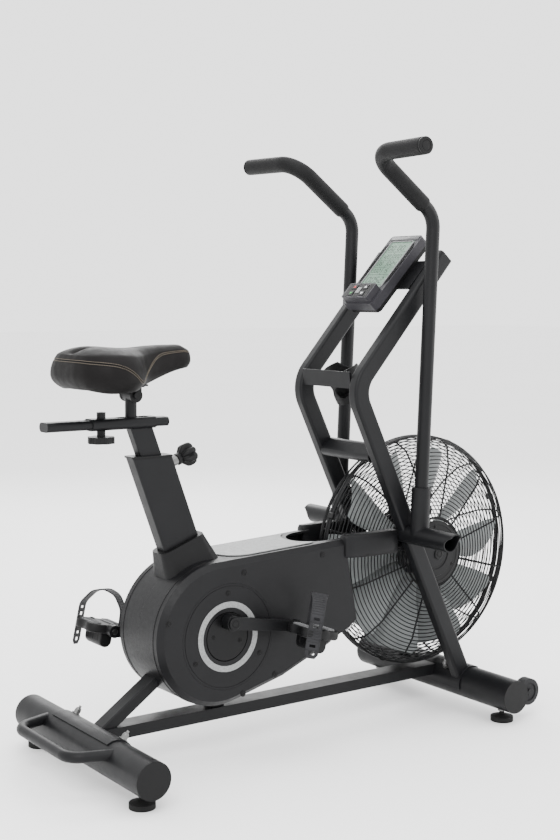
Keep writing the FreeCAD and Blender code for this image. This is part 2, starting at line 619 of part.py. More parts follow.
def fan_parts():
    """The fan, its bearings and hub plates; returns the brackets on the uprights."""
    x, z = dim("fan_x"), dim("fan_z")
    hub = cut(cylinder("blade_in", "50", "fan_x", "-25", "fan_z", "y"),
              cylinder("8", "50", "fan_x", "-25", "fan_z", "y"),
              cylinder("blade_in - 6", "20", "fan_x", "5", "fan_z", "y"),
              cylinder("blade_in - 6", "20", "fan_x", "-25", "fan_z", "y"))
    node("fan_hub", hub)
    count = int(dim("blade_count"))
    blades = []
    for index in range(count):
        blade = outline([(dim("blade_in"), -26), (dim("blade_out") - 8, -68), (dim("blade_out"), -60),
                         (dim("blade_out"), 60), (dim("blade_out") - 8, 68), (dim("blade_in"), 26)], 2, -1)
        blade.rotate(Vector(), Vector(1, 0, 0), dim("blade_pitch"))
        blade.rotate(Vector(), Vector(0, 1, 0), 360 * index / count)
        blade.translate(Vector(x, 0, z))
        blades.append(blade)
    inner = Part.makeCylinder(dim("blade_in"), 80, Vector(x, -40, z), Vector(0, 1, 0))
    node("fan_blades", feature(Part.makeCompound([blade.cut(inner) for blade in blades])))
    ring = cut(cylinder("16", "6", "fan_x", "hub_y - 6", "fan_z", "y"),
               cylinder(f"8 + {HOLE_CLEARANCE}", "6", "fan_x", "hub_y - 6", "fan_z", "y"))
    BEARINGS.extend([ring, mirrored(ring)])
    plate = cut(cylinder("hub_r", "3", "fan_x", "-hub_y - 1", "fan_z", "y"),
                cylinder("16", "3", "fan_x", "-hub_y - 1", "fan_z", "y"))
    both_sides("hub_plates", plate)
    corners = [(322, 352), (352, 352), (420, 362), (440, 380), (436, 402), (415, 412), (345, 426), (318, 420)]
    strap = outline(corners, 2, -(dim("up_y") - dim("up_w") / 2))
    hole = Part.makeCylinder(8 + HOLE_CLEARANCE, 20, Vector(x, -100, z), Vector(0, 1, 0))
    bracket = feature(strap.cut(hole))
    return [bracket, mirrored(bracket)]


def cage_route():
    """The cage's profile from the hub plate to the rim: radius and depth."""
    rim, face = dim("cage_r"), dim("hub_y") - 6
    return [(dim("hub_r") + 5, face), (222, face - 8), (rim, face - 26), (rim, 4)]


def cage_half():
    """Radial wires with rings lying on them, for the right-hand half."""
    x, z, wire = dim("fan_x"), dim("fan_z"), dim("wire_r")
    radial = round_bar([(r, -y, 0) for r, y in cage_route()], 26, wire)
    wires = []
    for index in range(12):
        bar = radial.copy()
        bar.rotate(Vector(), Vector(0, 1, 0), 30 * index + 15)
        bar.translate(Vector(x, 0, z))
        wires.append(bar)
    offset = [(r + 2 * wire + 0.1, y + 2 * wire + 0.1) for r, y in cage_route()]
    path = bent_path([(r, -y, 0) for r, y in offset], 29)
    steps = int(path.Length / dim("ring_gap"))
    rings = []
    for point in path.discretize(steps + 1):
        corners = [Vector(x + point.x + dx, point.y + dy, z) for dx, dy in
                   ((wire, 0), (0, wire), (-wire, 0), (0, -wire), (wire, 0))]
        section = Part.Face(Part.makePolygon(corners))
        rings.append(section.revolve(Vector(x, 0, z), Vector(0, 1, 0), 360))
    return feature(Part.makeCompound(wires + rings))


# -------------------------------------------------------------------- housing

def case_wire(inset, front_reach, y):
    """The housing's side outline, moved inwards by an inset."""
    centre, radius = Vector(dim("case_x"), y, dim("case_z")), dim("case_r") - inset
    top = Vector(138 + front_reach, y, 452 - inset)
    nose = Vector(175 + front_reach, y, 259)
    chin = Vector(146 + front_reach * 0.4, y, 237 + inset * 1.1)
    belly = Vector(-40, y, 160 + inset)

    def tangent(point, side):
        span = point - centre
        turn = math.atan2(span.z, span.x) + side * math.acos(radius / span.Length)
        return centre + Vector(radius * math.cos(turn), 0, radius * math.sin(turn))

    start, end = tangent(top, 1), tangent(belly, -1)
    back = centre + Vector(-radius, 0, 0)
    lines = [(end, belly), (belly, chin), (chin, nose), (nose, top), (top, start)]
    edges = [Part.Arc(start, back, end).toShape()]
    edges += [Part.LineSegment(a, b).toShape() for a, b in lines]
    return Part.Wire(edges)


def housing_parts():
    half, wall = dim("case_half"), dim("case_wall")
    solid = Part.Face(case_wire(0, 0, -half)).extrude(Vector(0, half, 0))
    rim = [e for e in solid.Edges if all(abs(v.Y + half) < 0.01 for v in e.Vertexes)]
    solid = solid.makeChamfer(dim("case_bevel"), rim)
    hollow = Part.Face(case_wire(wall, 60, -half + wall)).extrude(Vector(0, half, 0))
    edge = [e for e in hollow.Edges if all(abs(v.Y + half - wall) < 0.01 for v in e.Vertexes)]
    shell = solid.cut(hollow.makeChamfer(dim("case_bevel"), edge))
    disc = Part.makeCylinder(dim("cover_r") + 0.4, 20, Vector(dim("crank_x") + 3, -half - 5, dim("crank_z")),
                             Vector(0, 1, 0))
    slot = Part.makeBox(200, 2 * 62, 80, Vector(100, -62, 420))
    slot = slot.fuse(Part.makeCylinder(62, 80, Vector(100, 0, 420)))
    tube = rounded_bar(dim("seat_tube_d") + 2, dim("seat_tube_w") + 2, 6, 500)
    on_seat_axis(tube, 400)
    start = Vector(dim("rear_x") + 10, 0, dim("bar_z") + 10)
    run = Vector(dim("crank_x"), 0, dim("crank_z")) - start
    strut = rounded_bar(27, 42, 5, run.Length)
    strut.Placement = Placement(start, Rotation(Vector(0, 0, 1), run))
    post = Part.makeBox(36, 36, 200, Vector(dim("crank_x") + 6, -18, 60))
    shell = shell.cut(disc).cut(slot).cut(tube).cut(strut).cut(post)
    node_pair("housing", feature(shell))
    cover = cut(cylinder("cover_r", "case_wall", "crank_x + 3", "-case_half", "crank_z", "y"),
                cylinder("disc_r + 2", "case_wall", "crank_x", "-case_half", "crank_z", "y"),
                cut(cylinder("cover_r - 4", "1", "crank_x + 3", "-case_half", "crank_z", "y"),
                    cylinder("cover_r - 6", "1", "crank_x + 3", "-case_half", "crank_z", "y")))
    both_sides("side_covers", cover)
    accent = cut(cylinder("77", "0.9", "crank_x + 2", "-case_half - 0.9", "crank_z", "y"),
                 cylinder("64", "0.9", "crank_x + 2", "-case_half - 0.9", "crank_z", "y"))
    insert = rounded_bar(270, 132, 58, 2)
    rise = math.degrees(math.atan2(452 - 435, 138 + 210))
    insert.Placement = Placement(Vector(-40, 0, 444.2), Rotation(Vector(0, 1, 0), -rise))
    insert = feature(insert.cut(Part.makeCylinder(74, 80, Vector(100, 0, 420))))
    node("light_trims", group(insert, accent, mirrored(accent)))
    collar_seat()
    reach = fork_fairing(0, 408, 54).cut(fork_fairing(2.5, 410.5, 49))
    return feature(reach.cut(Part.Face(case_wire(-0.2, 0, -half - 1)).extrude(Vector(0, half, 0))))


def fork_fairing(inset, low, high):
    """The right-hand cover that sweeps from the housing's front out to the upright."""
    half = dim("case_half")
    plan = [(128 - 3 * inset, -76 - inset), (128 - 3 * inset, -half + inset), (142 - inset, -half + inset),
            (190, -101 + inset), (276 + inset, -101 + inset), (276 + inset, -76 - inset)]
    wire = Part.makePolygon([Vector(x, y, low) for x, y in plan + plan[:1]])
    return Part.Face(wire).extrude(Vector(0, 0, high))


def collar_seat():
    """The funnel round the foot of the seat tube."""
    top = box_wire(dim("seat_tube_d") + 22, dim("seat_tube_w") + 22, 16)
    low = box_wire(dim("seat_tube_d") + 60, dim("seat_tube_w") + 70, 30)
    top.Placement = Placement(Vector(0, 0, 96), Rotation())
    funnel = Part.makeLoft([low, top], True)
    hole = rounded_bar(dim("seat_tube_d") + 1, dim("seat_tube_w") + 1, 5.5, 96)
    funnel = funnel.cut(hole)
    on_seat_axis(funnel, 300)
    body = Part.Face(case_wire(0, 0, -90)).extrude(Vector(0, 180, 0))
    node("seat_tube_cowl", feature(funnel.cut(body)))


def belt_wire(big, small, y):
    """A belt loop round the crank pulley and the fan pulley."""
    back, front = Vector(dim("crank_x"), y, dim("crank_z")), Vector(dim("fan_x"), y, dim("fan_z"))
    span = front - back
    base = math.atan2(span.z, span.x)
    swing = math.acos((big - small) / span.Length)

    def on(centre, radius, angle):
        return centre + Vector(radius * math.cos(angle), 0, radius * math.sin(angle))

    upper, lower = base + swing, base - swing
    edges = [Part.LineSegment(on(back, big, upper), on(front, small, upper)).toShape(),
             Part.Arc(on(front, small, upper), on(front, small, base), on(front, small, lower)).toShape(),
             Part.LineSegment(on(front, small, lower), on(back, big, lower)).toShape(),
             Part.Arc(on(back, big, lower), on(back, big, base + math.pi), on(back, big, upper)).toShape()]
    return Part.Wire(edges)


def drive_parts():
    """Pulleys and belt on the left, with the guard that covers the belt's front."""
    groove, pulleys = 3, {}
    for label, radius, x, z in (("drive_pulley", "pulley_r", "crank_x", "crank_z"),
                                ("fan_pulley", "fan_pulley_r", "fan_x", "fan_z")):
        wheel = cylinder(radius, "belt_w + 2", x, "belt_y - belt_w / 2 - 1", z, "y")
        ring = cut(cylinder(f"{radius} + 1", "belt_w", x, "belt_y - belt_w / 2", z, "y"),
                   cylinder(f"{radius} - {groove}", "belt_w", x, "belt_y - belt_w / 2", z, "y"))
        bore = cylinder("8" if label == "fan_pulley" else "12.5", "30", x, "belt_y - 15", z, "y")
        pulleys[label] = cut(wheel, ring, bore)
    node("drive_pulley", pulleys["drive_pulley"])
    axle = cylinder("8", "2 * up_y - up_w", "fan_x", "-up_y + up_w / 2", "fan_z", "y")
    node("fan_axle", group(axle, pulleys["fan_pulley"]))
    big, small, y = dim("pulley_r") - groove + 0.05, dim("fan_pulley_r") - groove + 0.05, dim("belt_y")
    width = dim("belt_w") - 0.4
    outer = Part.Face(belt_wire(big + dim("belt_t"), small + dim("belt_t"), y - width / 2))
    inner = Part.Face(belt_wire(big, small, y - width / 2))
    node("drive_belt", feature(outer.cut(inner).extrude(Vector(0, width, 0))))
    corners = [(180, 401), (300, 409), (400, 424), (446, 410), (456, 300), (440, 262), (400, 250), (290, 248),
               (180, 238)]
    inside = [(150, 397.5), (300, 407), (400, 421.5), (443, 408), (453, 300), (438, 265), (399, 253), (290, 251),
              (150, 238)]
    tray = outline(corners, 12, 75.6)
    keep = outline(inside, 10.4, 75.6)
    hole = Part.makeCylinder(10, 20, Vector(dim("fan_x"), 80, dim("fan_z")), Vector(0, 1, 0))
    toe_room = Part.makeBox(80, 14, 40, Vector(264, 75, 402.5))
    return feature(tray.cut(keep).cut(hole).cut(toe_room))


def crank_parts():
    throw, half = dim("throw"), dim("belt_y") + 4
    journal = cylinder("12.5", "2 * belt_y + 8", "crank_x", "-belt_y - 4", "crank_z", "y")
    web = cut(cylinder("50", "8", "crank_x", "-belt_y - 4", "crank_z", "y"),
              cylinder("12.5", "8", "crank_x", "-belt_y - 4", "crank_z", "y"))
    bearing = cut(cylinder("bracket_r - 4", "12", "crank_x", "bracket_half - 12", "crank_z", "y"),
                  cylinder(f"12.5 + {HOLE_CLEARANCE}", "12", "crank_x", "bracket_half - 12", "crank_z", "y"))
    BEARINGS.extend([bearing, mirrored(bearing)])
    y_arm, thick, long = dim("crank_y"), dim("crank_t"), dim("crank_long")
    drop = math.radians(dim("crank_drop"))
    pins, covers, caps, axles = [], [], [], []
    for side, name in ((-1, "right"), (1, "left")):
        pin_x, pin_z = dim("crank_x"), dim("crank_z") - side * throw
        end_x, end_z = pin_x - side * long * math.cos(drop), pin_z + side * long * math.sin(drop)
        out = Vector(0, side, 0)

        def rod(radius, low, high, x=pin_x, z=pin_z):
            return Part.makeCylinder(radius, high - low, Vector(x, side * low, z), out)

        pins.append(feature(rod(11, half, y_arm + thick / 2 - 3)))
        cover = Part.makeCylinder(dim("disc_r"), 4, Vector(dim("crank_x"), side * 86.5, dim("crank_z")), out)
        cover = cover.cut(rod(11, 80, 100))
        covers.append(feature(cover))
        low, high = y_arm - thick / 2, y_arm + thick / 2
        start, stop = Vector(pin_x, 0, pin_z), Vector(end_x, 0, end_z)
        ahead = (stop - start).normalize()
        up = Vector(-ahead.z, 0, ahead.x)
        corners = [start + up * 14, stop + up * 12, stop - up * 12, start - up * 14]
        bar = outline([(c.x, c.z) for c in corners], thick, min(side * low, side * high))
        boss = rod(17, 92, high)
        tip = Part.makeCylinder(14, thick, Vector(end_x, side * low, end_z), out)
        arm = bar.fuse([boss, tip]).removeSplitter().cut(rod(11, 80, high - 3))
        arm = arm.cut(Part.makeCylinder(dim("axle_r"), 40, Vector(end_x, side * 100, end_z), out))
        node("crank_arm_" + name, feature(arm))
        caps.append(feature(Part.makeCylinder(10, 2, Vector(pin_x, side * high, pin_z), out)))
        axles.append(pedal_parts(side, name, end_x, end_z))
    node("crank_shaft", group(journal, web, *pins, *caps))
    node("crank_discs", group(*covers))
    node("pedal_axles", group(*axles))


def pedal_parts(side, name, x, z):
    """Axle, pedal body with its counterweight, and the toe strap."""
    first, wide, deep, thick = dim("pedal_in"), dim("pedal_w"), dim("pedal_d"), dim("pedal_t")
    last = first + wide
    out = Vector(0, side, 0)
    arm_in = dim("crank_y") - dim("crank_t") / 2
    axle = Part.makeCylinder(dim("axle_r"), last - 8 - arm_in, Vector(x, side * arm_in, z), out)
    y_low = first if side > 0 else -last
    body = rounded_bar(deep - 8, wide, 26, thick)
    body.Placement = Placement(Vector(x, y_low + wide / 2, z - thick / 2), Rotation())
    middle = y_low + wide / 2
    for shift in (-1, 1):
        body = body.cut(Part.makeCylinder(9, 2 * thick, Vector(x + shift * (deep / 2 - 1), middle, z - thick)))
    weight = Part.makeBox(30, 72, 16, Vector(x - 15, middle - 36, z - thick / 2 - 16))
    weight = weight.fuse(Part.makeCylinder(15, 72, Vector(x, middle - 36, z - thick / 2 - 16), Vector(0, 1, 0)))
    lug_y = last if side > 0 else -last - 1.8
    lug = Part.makeBox(30, 1.8, 12, Vector(x - 15, lug_y, z - 6))
    heel = Part.makeBox(30, 1.5, 3.4, Vector(x - 15, first - 1.5 if side > 0 else -first, z + 7.6))
    body = body.fuse([weight, lug, heel]).removeSplitter()
    bore = Part.makeCylinder(dim("axle_r") + HOLE_CLEARANCE, last - 6 - 100, Vector(x, side * 100, z), out)
    level = (Vector(x, 0, z), Vector(0, 1, 0), dim("pedal_tilt"))
    node("pedal_" + name, feature(body.cut(bore).rotate(*level)))
    inner, outer = first - 3, last + 3
    mid = (inner + outer) / 2
    route = [(0, side * inner, 9), (0, side * (inner + 2), 46), (0, side * (inner + 22), 76), (0, side * mid, 84),
             (0, side * (outer - 22), 74), (0, side * (outer - 0), 44), (0, side * outer, -52)]
    path = bent_path(route, 16)
    section = box_wire(dim("strap_w"), 2.4, 1.1)
    start, ahead = Vector(*route[0]), Vector(*route[1]) - Vector(*route[0])
    section.Placement = Placement(start, Rotation(Vector(0, 0, 1), ahead))
    strap = path.makePipeShell([section], True, True)
    for drop in (-44, -28, 16, 32):
        slit = Part.makeBox(13, 12, 7, Vector(-6.5, side * outer - 6, drop))
        strap = strap.cut(slit)
    strap.translate(Vector(x, 0, z))
    strap.rotate(*level)
    node("pedal_strap_" + name, feature(strap))
    return feature(axle)


# -------------------------------------------------------------------- console

def on_console(shape, along, across, out):
    """Moves a shape into the console's tilted frame."""
    turn = Rotation(Vector(0, 1, 0), -dim("console_tilt"))
    middle = Vector(dim("console_mid_x"), 0, dim("console_mid_z"))
    shape.Placement = Placement(middle, turn).multiply(Placement(Vector(along, across, out), Rotation()))
    return shape


def console_parts():
    long, wide, thick = dim("console_long"), dim("console_w"), dim("console_t")
    case = rounded_bar(long, wide, 10, thick - 12)
    screen_hole = Part.makeBox(158, 84, 3, Vector(-62, -42, thick - 15))
    case = feature(on_console(case.cut(screen_hole), 0, 0, 12 - thick / 2))
    node("console_back", feature(on_console(rounded_bar(long - 8, wide - 8, 10, 12), 0, 0, -thick / 2)))
    screen = Part.makeBox(157.6, 83.6, 2.4)
    node("console_screen", feature(on_console(screen, -61.8, -41.8, thick / 2 - 3)))
    module = rounded_bar(46, 96, 5, 18)
    keys = {"red": (10, 20), "green": (-10, 20), "up": (10, -20), "down": (-10, -20)}
    middle = -long / 2 + 27
    for along, across in keys.values():
        module = module.cut(Part.makeBox(13.6, 17.6, 6, Vector(along - 6.8, across - 8.8, 13)))
    node("console_case", group(case, feature(on_console(module, middle, 0, thick / 2))))
    for name, (along, across) in keys.items():
        key = Part.makeBox(13, 17, 4.5)
        node(f"button_{name}", feature(on_console(key, middle + along - 6.5, across - 8.5, thick / 2 + 14.8)))
    gap = 2 * (dim("up_y") - dim("up_w") / 2)
    plate = Part.makeBox(90, gap, 4)
    bracket = feature(on_console(plate, -30, -gap / 2, -thick / 2 - 4))
    screws = [Part.makeCylinder(4, 3, Vector(along, across, -3)) for along in (-15, 45) for across in (-30, 30)]
    heads = feature(on_console(Part.makeCompound(screws), 0, 0, -thick / 2 - 4))
    return bracket, heads


def bottle_holder():
    """A flared cup with notched walls, leaning back in front of the upper cross plate."""
    cup = Part.makeCone(36, 43, 84).cut(Part.makeCone(33.5, 40.5, 84))
    floor = Part.makeCylinder(35, 3, Vector(0, 0, 0)).cut(Part.makeCylinder(16, 3))
    notches = []
    for degrees in (0, 180):
        notch = Part.makeCylinder(40, 120, Vector(0, 0, 100), Vector(1, 0, 0))
        notch.rotate(Vector(), Vector(0, 0, 1), degrees)
        notches.append(notch)
    windows = [Part.makeCylinder(17, 120, Vector(0, 0, 34), Vector(*polar(1, d), 0)) for d in (30, 150, 210, 330)]
    holder = cup.fuse(floor).removeSplitter().cut(notches[0]).cut(notches[1])
    for window in windows:
        holder = holder.cut(window)
    holder.Placement = Placement(Vector(upright_x(812) + 80, 0, 768), Rotation(Vector(0, 1, 0), -24))
    stalk = Part.makeBox(44, 26, 20, Vector(upright_x(812) + 10.8, -13, 800))
    keep = Part.makeCone(33.5, 40.5, 84)
    keep.Placement = holder.Placement
    node("bottle_holder", feature(holder.fuse(stalk.cut(keep))))


# ------------------------------------------------------------------ run it all

lift_handle = base_frame()
studs = fasteners()
foot_bosses = feet()
wheel_mounts = transport_wheels()
node("rear_stabiliser", group(drilled_bar("rear_x"), lift_handle))
node("front_stabiliser", group(drilled_bar("front_x"), *wheel_mounts))
frame_uprights_and_strut()
node("main_frame", group(*MAIN_FRAME))
seat_post_parts()
rail_parts()
pin_collar = seat_knobs()
saddle_parts()
front_frame = uprights()
hand_arm()
link_rod(-1, "right")
link_rod(1, "left")
front_frame += fan_parts()
right_cage = cage_half()
node("fan_cage", group(right_cage, mirrored(right_cage)))
fork_cover = housing_parts()
belt_guard = drive_parts()
node("drive_covers", group(fork_cover, mirrored(fork_cover), belt_guard))
crank_parts()
console_bracket, console_screws = console_parts()
bottle_holder()
node("front_frame", group(*front_frame, console_bracket))
node("bearings", group(*BEARINGS))
node("frame_fasteners", group(*studs, *foot_bosses, pin_collar, console_screws))
doc.recompute()

failed = [o.Name for o in doc.Objects if "Invalid" in o.State or "Error" in o.State]
empty = [label for label, o in NODES.items() if o.Shape.isNull() or not o.Shape.isValid() or not o.Shape.Solids]
if failed or empty:
    raise SystemExit(f"failed objects {failed}, bad shapes {empty}")
os.makedirs("parts", exist_ok=True)
whole = FreeCAD.BoundBox()
for label, thing in NODES.items():
    shape = thing.Shape.copy()
    shape.translate(Vector(-dim("centre_x"), 0, 0))
    shape.exportStep(f"parts/{label}.step")
    whole.add(shape.BoundBox)
print(len(NODES), "nodes", whole)
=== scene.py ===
import json
import math

import bmesh
import bpy
from mathutils import Matrix, Vector


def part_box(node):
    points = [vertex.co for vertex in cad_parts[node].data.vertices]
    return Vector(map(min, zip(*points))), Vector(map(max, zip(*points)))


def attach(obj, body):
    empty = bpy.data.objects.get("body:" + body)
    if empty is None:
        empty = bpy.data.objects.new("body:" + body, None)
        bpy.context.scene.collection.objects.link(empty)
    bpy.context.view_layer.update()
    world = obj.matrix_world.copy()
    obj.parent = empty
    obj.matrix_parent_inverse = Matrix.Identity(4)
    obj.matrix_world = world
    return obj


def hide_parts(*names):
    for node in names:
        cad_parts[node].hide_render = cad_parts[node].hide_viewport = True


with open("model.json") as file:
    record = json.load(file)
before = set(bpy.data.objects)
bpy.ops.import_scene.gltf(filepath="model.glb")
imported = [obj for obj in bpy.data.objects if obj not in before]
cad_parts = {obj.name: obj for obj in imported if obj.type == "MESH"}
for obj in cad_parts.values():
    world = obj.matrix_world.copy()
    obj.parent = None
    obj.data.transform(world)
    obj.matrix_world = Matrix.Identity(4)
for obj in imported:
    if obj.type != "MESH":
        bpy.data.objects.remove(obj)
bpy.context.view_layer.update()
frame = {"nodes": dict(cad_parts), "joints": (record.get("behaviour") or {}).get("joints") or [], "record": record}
NODES = frame["nodes"]
ORIGIN_X = 49.5           # the row frame's origin, in the part's own millimetres


def at(x, y, z):
    """A point of the part's own frame, in millimetres, as metres in the row frame."""
    return Vector(((x - ORIGIN_X) / 1000, y / 1000, z / 1000))


# ------------------------------------------------------------------ materials

class Finish:
    """A procedural material built round one principled shader."""

    def __init__(self, name, roughness, metallic=0.0, **sockets):
        self.material = bpy.data.materials.new(name)
        self.material.use_nodes = True
        self.tree = self.material.node_tree
        self.shader = self.tree.nodes["Principled BSDF"]
        self.set(Roughness=roughness, Metallic=metallic, **sockets)
        self.coords = self.add("ShaderNodeTexCoord").outputs["Object"]

    def set(self, **sockets):
        for key, value in sockets.items():
            self.shader.inputs[key.replace("_", " ")].default_value = value

    def add(self, kind, **values):
        node = self.tree.nodes.new(kind)
        for key, value in values.items():
            name = key.replace("_", " ")
            socket = node.inputs.get(name) if name[:1].isupper() else None
            if socket is None:
                setattr(node, key, value)
            elif isinstance(value, bpy.types.NodeSocket):
                self.tree.links.new(value, socket)
            else:
                socket.default_value = value
        return node

    def link(self, output, socket):
        self.tree.links.new(output, self.shader.inputs[socket])

    def stretched(self, scale):
        """Object coordinates, squeezed along some axes."""
        return self.add("ShaderNodeMapping", Vector=self.coords, Scale=scale).outputs[0]

    def noise(self, scale, detail=3.0, rough=0.5, vector=None):
        node = self.add("ShaderNodeTexNoise", Vector=vector or self.coords, Scale=scale, Detail=detail,
                        Roughness=rough)
        return node.outputs["Fac"]

    def cells(self, scale, feature="F1", vector=None):
        node = self.add("ShaderNodeTexVoronoi", feature=feature, Vector=vector or self.coords,
                        Scale=scale)
        return node.outputs["Distance"]

    def colours(self, fac, *stops):
        """A colour ramp: (place, red, green, blue) stops."""
        node = self.add("ShaderNodeValToRGB")
        self.tree.links.new(fac, node.inputs[0])
        ramp = node.color_ramp
        while len(ramp.elements) < len(stops):
            ramp.elements.new(0.5)
        for element, (place, *rgb) in zip(ramp.elements, stops):
            element.position, element.color = place, (*rgb, 1)
        return node.outputs["Color"]

    def spread(self, fac, low, high):
        """A number from low to high as fac goes over its middle half."""
        node = self.add("ShaderNodeMapRange", Value=fac)
        for socket, value in ((1, 0.25), (2, 0.75), (3, low), (4, high)):
            node.inputs[socket].default_value = value
        return node.outputs["Result"]

    def tint(self, fac, rgb, swing):
        """Base colour that wanders round rgb by the share swing."""
        dark, light = ([c * k for c in rgb] for k in (1 - swing, 1 + swing))
        self.link(self.colours(fac, (0.3, *dark), (0.7, *light)), "Base Color")

    def bumps(self, *layers, edge=0.0):
        """Stacks bumps (height, strength, distance) on the shader's normal, over rounded edges."""
        normal = None
        if edge:
            normal = self.add("ShaderNodeBevel", samples=4, Radius=edge).outputs[0]
        for height, strength, distance in layers:
            node = self.add("ShaderNodeBump", Height=height, Strength=strength, Distance=distance)
            if normal:
                self.tree.links.new(normal, node.inputs["Normal"])
            normal = node.outputs[0]
        self.link(normal, "Normal")


def powder_coat(name, rgb, roughness=0.42, edge=0.0012):
    finish = Finish(name, roughness, Specular_IOR_Level=0.15)
    cloud = finish.noise(9, 4)
    finish.tint(cloud, rgb, 0.16)
    finish.link(finish.spread(finish.noise(35, 5), roughness - 0.05, roughness + 0.07), "Roughness")
    finish.bumps((finish.noise(1500, 2), 0.22, 0.0004), (finish.noise(60, 2), 0.05, 0.001),
                 edge=edge)
    return finish.material


def moulded(name, rgb, roughness=0.5, grain=1.0, scale=1700, edge=0.0008):
    finish = Finish(name, roughness, Specular_IOR_Level=0.15)
    finish.tint(finish.noise(14, 3), rgb, 0.12)
    finish.link(finish.spread(finish.noise(120, 4), roughness - 0.06, roughness + 0.06), "Roughness")
    finish.bumps((finish.cells(scale), 0.25 * grain, 0.0003), (finish.noise(25, 2), 0.04, 0.002),
                 edge=edge)
    return finish.material


def rubbery(name, rgb, roughness=0.75, pores=0.0, scale=2500):
    finish = Finish(name, roughness, Specular_IOR_Level=0.14)
    finish.tint(finish.noise(30, 4), rgb, 0.2)
    finish.link(finish.spread(finish.noise(200, 4), roughness - 0.08, roughness + 0.08), "Roughness")
    layers = [(finish.noise(900, 4), 0.3, 0.0004)]
    if pores:
        layers.append((finish.cells(scale, "SMOOTH_F1"), pores, 0.0006))
    finish.bumps(*layers, edge=0.0008)
    return finish.material


def metal(name, rgb, roughness=0.32, brushed=(40, 40, 1200), depth=0.12):
    finish = Finish(name, roughness, 1.0)
    streaks = finish.noise(1, 4, 0.6, finish.stretched(brushed))
    finish.tint(streaks, rgb, 0.1)
    finish.link(finish.spread(streaks, roughness - 0.08, roughness + 0.1), "Roughness")
    finish.bumps((streaks, depth, 0.0002), edge=0.0006)
    return finish.material


def stippled(name, rgb):
    finish = Finish(name, 0.55)
    dots = finish.cells(260)
    finish.link(finish.colours(dots, (0.15, *rgb), (0.75, *[c * 0.72 for c in rgb])), "Base Color")
    finish.link(finish.spread(finish.noise(90, 3), 0.45, 0.65), "Roughness")
    finish.bumps((dots, 0.35, 0.0008), edge=0.0005)
    return finish.material


def leather(name, rgb):
    finish = Finish(name, 0.55, Specular_IOR_Level=0.09)
    drift = finish.add("ShaderNodeTexNoise", Vector=finish.coords, Scale=180.0)
    warp = finish.add("ShaderNodeVectorMath", operation="MULTIPLY_ADD")
    finish.tree.links.new(drift.outputs["Color"], warp.inputs[0])
    warp.inputs[1].default_value = (0.003, 0.003, 0.003)
    finish.tree.links.new(finish.coords, warp.inputs[2])
    creases = finish.cells(420, "DISTANCE_TO_EDGE", warp.outputs[0])
    pebble = finish.cells(900, "SMOOTH_F1", warp.outputs[0])
    # painted shade: the grain's creases are darkened to 55 per cent of the leather's colour
    painted_crease_shade = finish.colours(creases, (0.0, *[c * 0.55 for c in rgb]), (0.12, *rgb))
    finish.link(painted_crease_shade, "Base Color")
    finish.link(finish.spread(finish.noise(60, 4), 0.5, 0.64), "Roughness")
    finish.bumps((creases, 0.4, 0.0006), (pebble, 0.25, 0.0004), (finish.noise(22, 3), 0.15, 0.003))
    return finish.material


def display(name, rgb):
    finish = Finish(name, 0.36, Coat_Weight=0.05, Coat_Roughness=0.2,
                    Specular_IOR_Level=0.25)
    finish.tint(finish.noise(6, 2), rgb, 0.07)
    finish.link(finish.spread(finish.noise(40, 3), 0.3, 0.42), "Roughness")
    finish.bumps((finish.cells(1800), 0.03, 0.0002))
    return finish.material


CHARCOAL = (0.0042, 0.0043, 0.0049)
FINISHES = {
    "frame_paint": powder_coat("satin_charcoal_coat", CHARCOAL),
    "crank_steel": powder_coat("black_forging_coat", (0.0035, 0.0036, 0.004), 0.36),
    "dark_steel": powder_coat("black_oxide", (0.0035, 0.0035, 0.0038), 0.38),
    "black_plastic": moulded("grained_black_plastic", (0.0032, 0.0032, 0.0035), 0.46),
    "housing_plastic": moulded("housing_plastic", (0.0040, 0.0040, 0.0046), 0.42, 0.8),
    "dark_disc": moulded("disc_plastic", (0.0022, 0.0022, 0.0025), 0.34, 0.5),
    "console_plastic": moulded("console_plastic", (0.026, 0.025, 0.029), 0.42, 0.6),
    "light_trim": stippled("stippled_light_grey", (0.21, 0.215, 0.215)),
    "foot_rubber": rubbery("foot_rubber", (0.008, 0.008, 0.008)),
    "wheel_rubber": rubbery("wheel_rubber", (0.014, 0.014, 0.015), 0.6),
    "belt_rubber": rubbery("belt_rubber", (0.014, 0.014, 0.014)),
    "strap_rubber": rubbery("strap_rubber", (0.015, 0.015, 0.0165), 0.55),
    "grip_foam": rubbery("grip_foam", (0.0036, 0.0036, 0.0039), 0.6, 0.3, 1300),
    "zinc_steel": metal("zinc_steel", (0.15, 0.15, 0.148)),
    "pulley_metal": metal("turned_aluminium", (0.17, 0.17, 0.175), 0.36),
    "blade_metal": powder_coat("blade_coat", (0.15, 0.16, 0.16), 0.45),
    "cage_wire": powder_coat("wire_coat", (0.004, 0.0042, 0.0047), 0.38, 0.0),
    "saddle_leather": leather("saddle_leather", (0.0042, 0.0037, 0.0037)),
    "screen_glass": display("display_glass", (0.10, 0.165, 0.12)),
    "key_red": moulded("key_red", (0.0035, 0.0035, 0.004), 0.4, 0.4),
    "key_green": moulded("key_green", (0.0035, 0.0035, 0.004), 0.4, 0.4),
    "key_grey": moulded("key_grey", (0.0035, 0.0035, 0.004), 0.4, 0.4),
}
SLOT = {s["node"]: s["material_slot"] for s in frame["record"]["subparts"]}

for name, node in NODES.items():
    node.data.materials.clear()
    node.data.materials.append(FINISHES[SLOT[name]])

# ----------------------------------------------------------------- mesh tools

def smooth_step(value, low, high):
    t = min(max((value - low) / (high - low), 0), 1)
    return t * t * (3 - 2 * t)


